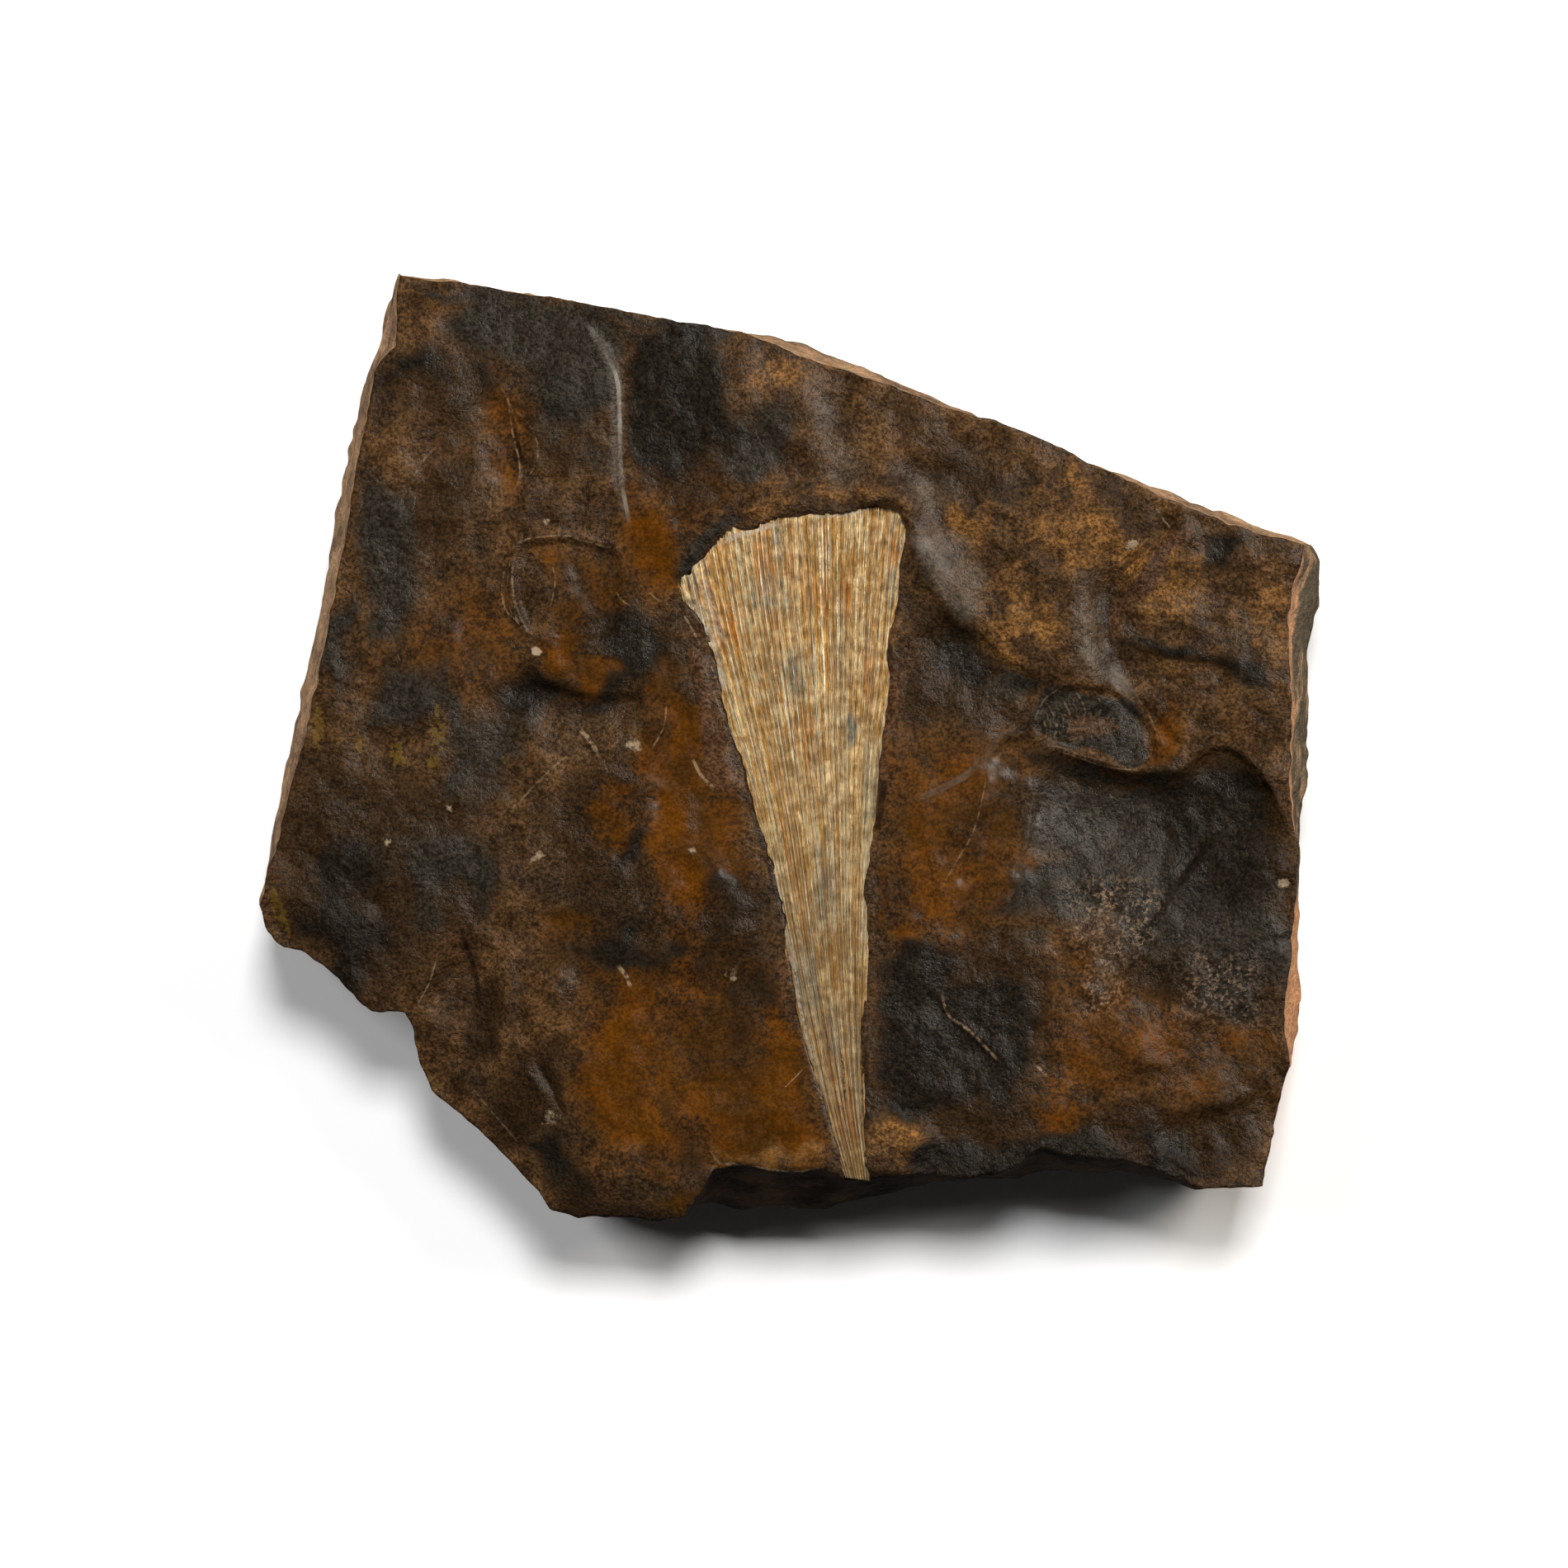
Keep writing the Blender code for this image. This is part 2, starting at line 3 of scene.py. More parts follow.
import bpy
import numpy as np
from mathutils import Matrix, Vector


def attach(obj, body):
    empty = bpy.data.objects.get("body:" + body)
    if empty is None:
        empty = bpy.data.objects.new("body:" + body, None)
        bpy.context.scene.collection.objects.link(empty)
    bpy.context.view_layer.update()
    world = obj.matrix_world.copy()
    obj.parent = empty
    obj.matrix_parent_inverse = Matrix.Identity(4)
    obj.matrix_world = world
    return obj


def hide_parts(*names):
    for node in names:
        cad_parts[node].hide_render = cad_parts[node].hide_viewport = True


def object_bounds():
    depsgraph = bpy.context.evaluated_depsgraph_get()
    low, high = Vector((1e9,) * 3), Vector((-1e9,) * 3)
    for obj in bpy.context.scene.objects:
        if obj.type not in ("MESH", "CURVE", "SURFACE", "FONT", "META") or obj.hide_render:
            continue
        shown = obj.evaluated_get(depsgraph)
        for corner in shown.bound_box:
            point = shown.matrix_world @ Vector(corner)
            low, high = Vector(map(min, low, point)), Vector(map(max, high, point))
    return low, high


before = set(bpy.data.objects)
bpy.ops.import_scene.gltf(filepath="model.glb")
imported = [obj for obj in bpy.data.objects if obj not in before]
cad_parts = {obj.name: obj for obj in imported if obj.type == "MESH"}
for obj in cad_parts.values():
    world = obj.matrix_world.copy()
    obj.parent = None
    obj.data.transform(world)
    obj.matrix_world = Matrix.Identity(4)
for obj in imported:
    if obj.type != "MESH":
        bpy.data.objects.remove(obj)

bl_info = {
    "name": "Fossil Leaf Plate",
    "version": (1, 0, 0),
    "blender": (4, 5, 0),
    "location": "3D View > Sidebar > Fossil",
    "description": "Makes a dark mudstone slab with a pale fossil leaf, and a studio to see it in",
    "category": "Add Mesh",
}

CAD_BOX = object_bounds()
MM = 0.001

# The slab, in millimetres: the values of its solid.
FACE_HEIGHT = 20.0
WIDEST_LEVEL = 0.50
BACK_CHAMFER_LEVEL = 0.92
BACK_CHAMFER = 1.2
CORNER_ROUNDING = 3.0
RISES_COUNT = 0.6
TUCK = {"left": 1.5, "top": 1.6, "right": 1.8, "bottom": 4.6}

# Unevenness that only the visible mesh has, in millimetres.
LAYER_HEIGHT = 0.30       # how far the bedding layers stand out of the flanks
LAYER_GRAIN = 0.16        # finer unevenness of the flanks
BACK_HOLLOW = 0.25        # shallow hollows of the underside

# How bright a level white face is under the studio's lights, for turning seen colours into base colours.
LIGHT_LEVEL = 1.60

# How finely the visible surfaces are divided.
FACE_COLUMNS = 300
FACE_ROWS = 236
FLANK_RINGS = 15
BACK_RINGS = 6
LEAF_COLUMNS = 240
LEAF_ROWS = 330

# Rim of the fossil face, then the widest line of the flank below it: x, y, x, y at each point.
LEFT_RIM = [
    (-43.1, 52.0, -43.8, 53.0),
    (-43.4, 50.5, -44.7, 51.0),
    (-43.5, 47.8, -45.5, 48.4),
    (-43.5, 44.3, -46.4, 45.0),
    (-44.8, 42.9, -46.9, 43.4),
    (-46.0, 41.2, -47.4, 41.6),
    (-46.5, 37.8, -48.3, 38.3),
    (-47.0, 35.0, -48.9, 35.6),
    (-47.8, 31.2, -49.9, 31.6),
    (-49.3, 21.9, -51.6, 22.2),
    (-51.7, 9.6, -54.1, 9.8),
    (-53.0, 3.2, -55.4, 3.2),
    (-55.2, -5.0, -57.1, -5.1),
    (-56.5, -10.0, -58.1, -10.2),
    (-57.6, -13.6, -58.9, -13.9),
    (-58.5, -17.3, -59.5, -17.6),
]
TOP_RIM = [
    (-43.1, 52.0, -43.8, 53.0),
    (-36.2, 51.1, -36.8, 52.1),
    (-28.0, 49.8, -28.5, 50.7),
    (-18.0, 47.9, -18.3, 48.8),
    (-6.2, 45.9, -6.3, 46.7),
    (-2.6, 44.6, -2.6, 46.1),
    (1.5, 42.8, 1.9, 45.2),
    (7.4, 41.2, 7.9, 43.0),
    (13.8, 38.7, 14.5, 39.9),
    (17.4, 37.4, 18.1, 38.3),
    (23.8, 35.7, 24.0, 36.0),
    (31.0, 32.4, 31.2, 32.8),
    (33.3, 31.2, 33.6, 31.7),
    (36.5, 29.7, 37.5, 30.5),
    (41.0, 27.5, 42.2, 28.6),
    (47.4, 24.9, 48.7, 26.3),
    (51.0, 23.7, 52.6, 24.6),
    (56.5, 22.3, 58.4, 22.7),
]
RIGHT_RIM = [
    (56.5, 22.3, 58.4, 22.7),
    (56.2, 20.7, 59.5, 20.9),
    (55.0, 16.9, 59.3, 17.0),
    (54.8, 13.9, 58.8, 13.9),
    (54.9, 10.5, 58.2, 10.9),
    (55.1, 3.2, 58.1, 3.3),
    (55.0, -4.0, 57.9, -4.1),
    (55.2, -6.4, 57.2, -6.7),
    (55.4, -8.6, 57.0, -8.7),
    (55.9, -11.3, 57.1, -11.5),
    (55.7, -16.8, 56.9, -17.1),
    (55.0, -23.1, 56.7, -23.5),
    (54.4, -27.7, 57.1, -28.0),
    (54.3, -30.4, 56.7, -30.9),
    (55.0, -35.0, 55.9, -35.5),
    (54.0, -39.0, 54.2, -39.2),
    (53.3, -42.2, 53.4, -42.4),
    (52.0, -48.4, 52.0, -48.5),
]
BOTTOM_RIM = [
    (-58.5, -17.3, -59.5, -17.6),
    (-58.1, -19.7, -58.8, -19.9),
    (-57.2, -21.2, -57.6, -21.4),
    (-56.0, -22.1, -56.1, -22.2),
    (-54.0, -22.6, -54.0, -22.7),
    (-52.3, -23.5, -52.3, -23.6),
    (-50.0, -25.6, -50.0, -25.7),
    (-46.4, -29.4, -46.4, -29.5),
    (-42.7, -29.2, -42.7, -29.3),
    (-42.1, -30.2, -42.1, -30.3),
    (-41.0, -35.1, -41.0, -35.2),
    (-40.0, -37.9, -40.0, -38.0),
    (-34.6, -42.5, -34.6, -42.6),
    (-27.8, -49.2, -27.8, -49.3),
    (-26.6, -51.2, -26.6, -51.3),
    (-23.6, -52.1, -23.6, -52.2),
    (-18.6, -52.0, -18.6, -52.1),
    (-14.5, -52.4, -14.5, -52.5),
    (-11.8, -51.7, -11.8, -51.8),
    (-9.8, -49.0, -9.9, -51.4),
    (-8.6, -46.5, -8.2, -51.4),
    (-4.9, -45.9, -4.2, -51.6),
    (-2.1, -46.6, -2.0, -51.8),
    (0.6, -46.9, 0.8, -51.7),
    (3.6, -46.4, 3.8, -51.6),
    (5.6, -47.8, 5.9, -51.2),
    (9.7, -47.7, 10.2, -50.1),
    (12.9, -47.1, 13.6, -49.1),
    (20.1, -47.4, 20.4, -48.4),
    (24.2, -46.6, 24.4, -48.3),
    (27.6, -44.0, 28.6, -47.5),
    (30.1, -45.0, 30.8, -47.4),
    (37.4, -45.7, 37.6, -47.6),
    (42.9, -47.6, 42.8, -48.8),
    (45.1, -48.7, 45.2, -49.3),
    (50.6, -48.6, 50.6, -48.8),
    (52.0, -48.4, 52.0, -48.5),
]

# The leaf's outline, in millimetres.
LEAF_LEFT = [
    (6.0, -47.4), (4.7, -43.1), (3.3, -38.4), (1.5, -33.0), (-0.4, -23.2), (-0.6, -19.6), (-2.0, -13.2),
    (-3.4, -8.7), (-5.7, -1.0), (-7.3, 4.3), (-8.3, 9.3), (-9.6, 13.3), (-12.0, 16.4), (-12.5, 18.3),
]
LEAF_RIGHT = [
    (8.7, -47.8), (8.1, -43.1), (8.0, -37.0), (7.8, -30.0), (8.5, -27.4), (8.5, -18.8), (8.1, -16.0),
    (9.4, -6.8), (9.8, -1.0), (11.0, 7.8), (10.5, 10.5), (11.6, 15.9), (12.0, 20.0), (12.9, 24.2),
]
LEAF_BASE = [(6.0, -47.4), (8.7, -47.8)]
LEAF_CROWN = [
    (-12.5, 18.3), (-10.0, 20.9), (-7.0, 23.9), (-4.3, 24.2), (-1.2, 25.5), (5.7, 26.0), (9.3, 27.0),
    (12.0, 26.3), (12.9, 24.2),
]
# The paths of the first and last vein, from the base to beyond the crown.
VEIN_LEFT = [
    (6.2, -48.0), (3.3, -38.4), (-0.4, -23.2), (-3.6, -8.7), (-7.2, 4.3), (-9.8, 13.3), (-13.2, 27.5),
]
VEIN_RIGHT = [
    (8.8, -48.0), (8.1, -37.0), (8.5, -20.0), (9.8, -1.0), (11.1, 10.5), (12.1, 20.0), (12.9, 27.5),
]
LEAF_THICKNESS = 1.0      # visible layer, above the floor of its pocket
LEAF_SINK = 0.15          # how far the leaf's middle lies below the stone around it
VEINS = 29                # fine veins across the crown
STRANDS = 10              # strong strands that the veins gather into at the base
LEAF_LUMPS = 0.14         # unevenness of the leaf's face
LEAF_FIBRES = 0.05        # fine fibres along the veins
CRUST_HEIGHT = 0.34       # lumps of the crust at the crown and the upper left edge

# Broken edges: walking along the line, the ground on the left hand is higher and the right hand is hollowed
# below it. Each is a line, the height of its step, how wide its face is and how far the hollow reaches.
LEDGES = [
    ([(-32.1, 40.0), (-31.0, 36.9), (-29.9, 30.5), (-30.8, 27.8)], 0.9, 0.6, 4),
    ([(-29.0, 10.0), (-27.6, 7.8), (-25.3, 6.4), (-21.7, 5.8), (-15.3, 6.0)], 1.6, 0.9, 4),
    ([(-48.0, 6.4), (-40.8, 6.4)], 0.4, 0.6, 3),
    ([(-48.0, 29.1), (-39.9, 28.7)], 0.4, 0.6, 3),
    ([(-41.7, -29.0), (-40.2, -25.5), (-39.0, -22.7)], 0.7, 0.8, 4),
    ([(-33.0, -20.5), (-32.3, -25.0), (-31.9, -30.5), (-32.6, -35.9)], 1.0, 0.9, 5),
    ([(-28.0, -19.5), (-26.7, -18.1), (-23.5, -17.7)], 0.5, 0.6, 3),
    ([(12.9, 26.0), (14.0, 21.0), (16.4, 16.4), (18.4, 13.6), (21.5, 12.1), (25.6, 8.7),
      (30.0, 7.6)], 1.5, 1.0, 18),
    ([(36.0, 12.3), (40.1, 10.5), (49.2, 9.1)], 0.8, 0.9, 5),
    ([(35.6, 8.7), (38.5, 5.6), (41.5, 2.6), (43.6, 0.2)], 1.0, 0.8, 4),
    ([(26.5, 1.0), (30.1, 0.0), (33.8, -1.6), (37.4, -2.5), (42.0, -2.6), (44.0, -1.0), (46.2, 0.2),
      (49.2, -0.4), (52.0, -3.0), (54.2, -7.2), (55.0, -12.0)], 3.4, 2.2, 9),
    ([(40.1, -40.0), (47.4, -39.5), (52.9, -36.8)], 1.3, 1.2, 5),
    ([(-9.0, -43.8), (-8.0, -45.6), (-5.5, -45.9), (0.6, -46.7), (3.6, -46.2), (7.0, -47.0),
      (12.9, -46.6)], 1.2, 0.8, 4),
]
# Rounded steps, again higher on the left hand: a line, their height, their slope's width and their reach.
FOLDS = [
    ([(-17.9, 24.6), (-18.8, 26.9), (-19.2, 35.0), (-19.1, 39.6), (-20.3, 43.7),
      (-23.5, 47.3)], 0.62, 1.1, 9),
    ([(-32.6, 23.2), (-34.2, 33.0), (-35.2, 38.7), (-37.6, 47.8)], 0.2, 3.0, 9),
    ([(5.0, 28.0), (4.0, 33.0), (3.0, 38.0), (1.0, 43.0)], 1.1, 4.6, 9),
    ([(21.4, 13.0), (19.2, 18.0), (15.6, 23.0), (14.0, 27.0), (11.5, 32.0)], 2.2, 6.0, 9),
    ([(37.4, 5.0), (34.2, 9.0), (33.0, 13.5), (33.4, 21.0)], 1.9, 4.6, 8),
    ([(43.8, 26.0), (37.4, 18.7), (36.3, 13.0)], 1.2, 1.8, 7),
    ([(28.4, -16.0), (28.0, -10.0), (30.0, -4.0)], 0.8, 7.0, 10),
    ([(12.9, -5.9), (15.6, -5.0), (19.2, -3.1), (22.0, -0.4), (26.5, 1.9)], 0.5, 1.4, 5),
    ([(16.5, -26.8), (17.4, -29.5), (23.3, -35.0), (24.2, -36.3)], 0.4, 0.8, 3),
]
# Shallow scars where a flake came off: a closed outline, its depth and how wide its edge is.
SCARS = [
    ([(-31.2, 38.2), (-29.4, 36.9), (-28.0, 33.7), (-28.7, 30.0), (-30.1, 29.1)], 0.3, 0.9),
    ([(-31.0, 19.6), (-29.4, 22.8), (-24.4, 23.0), (-19.4, 21.9), (-18.6, 17.0), (-19.5, 13.0),
      (-24.0, 11.5), (-29.3, 12.8)], 0.6, 0.8),
    ([(26.8, 3.2), (27.6, 5.0), (30.1, 6.9), (33.8, 7.0), (36.5, 6.0), (39.7, 2.3), (40.6, 0.0),
      (40.1, -1.8), (37.4, -2.2), (33.8, -1.3), (30.1, 0.0), (27.2, 1.0)], 0.8, 0.7),
]
# Long rises and troughs: a line, its height (below nothing where it is a trough) and its half width.
RIDGES = [
    ([(-30.6, 21.9), (-27.1, 23.2), (-22.1, 22.5), (-19.4, 21.9)], 0.35, 0.5),
    ([(-30.2, 21.2), (-30.7, 17.0), (-29.3, 12.5)], 0.35, 0.5),
    ([(-12.9, 18.9), (-11.9, 22.0), (-9.2, 24.5), (-6.5, 25.8), (-2.0, 27.0)], 0.7, 1.3),
    ([(-2.0, 27.0), (5.0, 27.4), (12.5, 28.0)], 0.35, 1.1),
    ([(-10.8, 12.0), (-9.0, 6.0), (-7.3, -1.0), (-5.6, -7.5)], 0.22, 1.2),
    ([(12.2, 9.0), (11.6, 3.0), (11.2, -4.0)], 0.07, 0.8),
    ([(21.5, -4.0), (20.1, -9.5), (16.5, -15.9)], 0.35, 0.8),
    ([(35.8, 9.8), (34.8, 13.0), (35.0, 17.8), (41.5, 24.6)], -0.5, 0.9),
    ([(-36.8, -23.0), (-35.4, -29.0), (-35.0, -37.0)], -1.8, 3.2),
    ([(-28.2, -34.0), (-24.4, -41.3)], -0.6, 0.8),
    ([(-48.0, -28.0), (-42.0, -35.0), (-33.0, -45.0), (-27.0, -52.0)], -3.6, 6.0),
    ([(-27.0, -53.5), (-11.0, -53.5)], -3.4, 4.0),
    ([(-60.0, -18.0), (-50.0, -28.0)], -1.6, 4.0),
]
# Rounded rises and hollows: middle x and y, half widths along x and y, height.
DOMES = [
    (39.0, -11.0, 12.0, 9.0, -1.3),
    (37.9, -33.1, 2.4, 2.4, 0.9),
    (13.3, -43.6, 2.4, 2.2, 0.6),
    (-16.3, 2.3, 2.7, 2.6, 0.4),
    (26.0, 22.0, 9.0, 7.0, 0.8),
    (-23.0, 8.5, 6.0, 2.5, 0.6),
    (47.0, 17.0, 6.0, 5.0, -0.5),
    (-8.0, -35.0, 8.0, 7.0, -0.4),
    (-45.5, -17.5, 0.9, 0.9, -0.35),
    (-5.0, 43.0, 4.0, 3.0, 0.5),
    (-26.5, -28.0, 3.0, 5.0, 0.6),
]
SWELL_SCALE = 17.0
SWELL_HEIGHT = 0.55
LUMP_SCALE = 6.5
LUMP_HEIGHT = 0.42
RIPPLE_SCALE = 2.9
RIPPLE_HEIGHT = 0.20
GRAIN_HEIGHT = 0.06        # fine unevenness of the smooth stone
ROUGH_HEIGHT = 0.24        # the same where the break is rough
CHIP_SCALE = 8.0
CHIP_HEIGHT = 0.62         # depth of the small scoops between sharp crests
HIGHEST = 21.3             # the face levels off below this height
LEVELLING = 0.6            # over this much height

# Zones of the face: a closed outline, how soft its edge is, and its strength. Most are colours, dark
# brown first; some of the black ones are painted shade. FERNS, SHEEN and ROUGH say where the growths,
# the painted grey sheen with its smoother gloss, and the rough break are.
ZONE_SOFTNESS = 1.5        # edges of the colour zones are this many times as wide as the tables say
AMBER_SOFTNESS = 2.3       # and those of the waxy amber this many times
UMBER = [
    ([(-56.7, -5.0), (-50.8, 0.5), (-47.1, -2.2), (-38.0, -4.0), (-32.6, -9.5), (-31.7, -14.0),
      (-33.5, -19.5), (-39.9, -22.2), (-43.5, -27.7), (-48.0, -26.8), (-57.1, -19.5),
      (-57.1, -10.4)], 5, 0.75),
    ([(-22.6, 19.6), (-19.0, 19.1), (-17.1, 15.0), (-10.8, 10.5), (-16.2, 2.3), (-19.0, 3.2), (-31.7, 5.0),
      (-32.6, 7.8), (-29.0, 9.6)], 3, 0.7),
    ([(-27.1, -7.2), (-21.7, -2.2), (-15.3, -1.3), (-14.4, -5.0), (-15.3, -13.1), (-9.9, -13.1),
      (-8.0, -9.5), (-4.4, -12.2), (-2.6, -19.5), (-0.8, -25.0), (0.1, -29.5), (-7.1, -35.0),
      (-9.9, -35.0), (-14.4, -26.8), (-21.7, -27.7), (-26.2, -24.0), (-23.5, -18.6),
      (-24.4, -14.0)], 4, 0.75),
    ([(-17.1, 30.0), (-14.4, 27.8), (-11.7, 24.9), (-8.0, 27.8), (-7.1, 31.4), (-9.9, 33.2)], 3, 0.75),
    ([(12.7, 15.0), (17.4, 14.6), (23.3, 10.5), (27.4, 6.4), (24.2, 2.8), (22.0, 0.5), (18.3, 2.8),
      (13.8, 2.3), (12.4, 5.0), (13.8, 9.6)], 3, 0.8),
    ([(9.2, -25.0), (26.5, -20.4), (28.3, -25.0), (27.4, -35.9), (31.0, -42.2), (22.0, -44.0),
      (13.8, -43.1), (8.3, -42.2)], 4, 0.75),
    ([(13.8, -8.6), (16.5, -9.5), (14.7, -14.0), (15.6, -17.7), (12.0, -23.1), (11.0, -17.7)], 3, 0.65),
    ([(26.5, -40.0), (42.0, -39.7), (49.2, -37.9), (53.0, -37.5), (51.8, -45.0), (48.3, -47.2),
      (43.8, -47.9), (31.0, -45.0)], 3, 0.8),
    ([(9.2, 39.1), (18.8, 35.8), (15.6, 35.2), (12.0, 36.4)], 2, 0.7),
    ([(17.4, 33.7), (19.7, 31.9), (22.9, 29.1), (19.2, 27.8), (14.7, 29.1), (14.2, 31.0)], 2.5, 0.75),
    ([(20.6, 35.5), (25.6, 33.2), (24.2, 32.3)], 2, 0.65),
    ([(-47.1, 43.2), (-36.2, 44.1), (-29.0, 38.7), (-23.5, 34.1), (-21.7, 29.6), (-25.3, 29.6),
      (-32.6, 36.9), (-36.2, 33.2), (-41.7, 36.9), (-46.2, 35.0)], 4, 0.6),
    ([(-37.6, 33.2), (-33.5, 33.7), (-34.4, 27.8), (-36.2, 23.2), (-41.7, 22.3), (-42.6, 27.8)], 3, 0.6),
    ([(-37.1, -26.8), (-32.6, -25.9), (-32.1, -35.0), (-35.3, -35.0)], 2, 0.65),
    ([(-29.9, -35.0), (-25.3, -32.2), (-24.4, -38.6), (-29.0, -45.0), (-32.6, -44.0),
      (-32.6, -39.5)], 3, 0.7),
    ([(-28.0, -49.0), (-14.0, -50.0), (-9.0, -47.0), (12.0, -47.0), (12.0, -52.0),
      (-28.0, -53.0)], 3, 0.8),
    ([(36.5, -21.0), (49.0, -19.5), (54.0, -25.0), (50.0, -30.5), (38.3, -28.5), (36.0, -25.9)], 4, 0.8),
    ([(-24.5, 33.0), (-21.5, 32.5), (-21.7, 29.6), (-25.3, 29.6)], 2, 0.7),
]
CHARCOAL = [
    ([(-36.2, 50.8), (-19.9, 48.0), (-19.2, 36.9), (-24.4, 33.7), (-29.0, 36.9), (-29.9, 40.5),
      (-36.2, 43.2), (-37.6, 46.0)], 3, 0.85),
    ([(-41.7, 51.4), (-32.6, 50.6), (-18.0, 48.3), (-6.2, 46.5), (-7.1, 42.3), (-14.4, 46.0),
      (-30.8, 48.5), (-40.8, 49.6)], 2, 0.8),
    ([(-47.1, 28.7), (-41.7, 27.8), (-40.8, 20.5), (-42.6, 13.2), (-45.3, 12.3), (-47.1, 16.9),
      (-48.0, 24.1)], 3, 0.9),
    ([(-50.8, 15.0), (-48.0, 16.0), (-47.9, 9.6), (-51.2, 5.5), (-51.9, 10.5)], 2, 0.85),
    ([(-44.4, 9.1), (-38.0, 8.7), (-35.3, 4.1), (-34.4, 0.5), (-36.2, -7.7), (-38.0, -5.0), (-37.1, 0.5),
      (-39.0, 5.0), (-41.7, 1.4), (-46.2, 1.4), (-48.0, 4.1)], 3, 0.9),
    ([(-43.5, -9.5), (-36.2, -8.6), (-32.6, -10.4), (-31.7, -14.0), (-33.5, -19.0), (-35.1, -18.6),
      (-36.2, -14.5), (-39.4, -15.9), (-39.0, -20.4), (-41.7, -21.3), (-41.2, -15.9)], 3, 0.85),
    ([(-35.7, 5.0), (-28.0, 5.0), (-28.9, 1.4), (-31.7, -5.0), (-36.2, -8.6), (-38.0, 0.5)], 4, 0.7),
    ([(27.2, -5.1), (31.0, -4.5), (43.8, -5.9), (48.3, -7.7), (49.2, -13.1), (52.9, -16.3), (54.2, -25.0),
      (52.0, -30.4), (44.7, -28.8), (47.4, -23.1), (42.0, -22.2), (37.4, -21.3), (35.1, -17.7),
      (29.0, -20.0), (22.5, -17.5), (25.5, -13.5), (31.0, -11.5), (26.0, -8.5), (29.0, -6.5)], 3.8, 1.0),
    ([(-9.0, 32.8), (-6.2, 36.9), (-1.7, 38.7), (0.6, 36.0), (-0.3, 31.4), (-5.3, 30.0),
      (-7.1, 30.5)], 2.5, 0.85),
    ([(27.1, 3.2), (28.0, 5.0), (30.1, 6.7), (33.8, 6.8), (36.5, 5.8), (39.5, 2.3), (40.4, 0.0),
      (39.8, -1.6), (37.4, -2.0), (33.8, -1.1), (30.1, 0.2), (27.4, 1.2)], 0.7, 1.1),
    ([(-12.8, 18.7), (-12.4, 21.6), (-9.9, 24.1), (-7.1, 25.8), (-4.9, 25.4), (-8.0, 23.2),
      (-10.3, 20.9)], 1.2, 1.0),
    ([(23.3, 10.0), (27.0, 8.0), (29.7, 6.5), (26.5, 5.0), (21.0, 5.6), (23.0, 7.0)], 2, 0.8),
    ([(12.8, -24.0), (27.0, -19.0), (28.0, -21.5), (14.0, -27.0)], 3, 0.5),
]
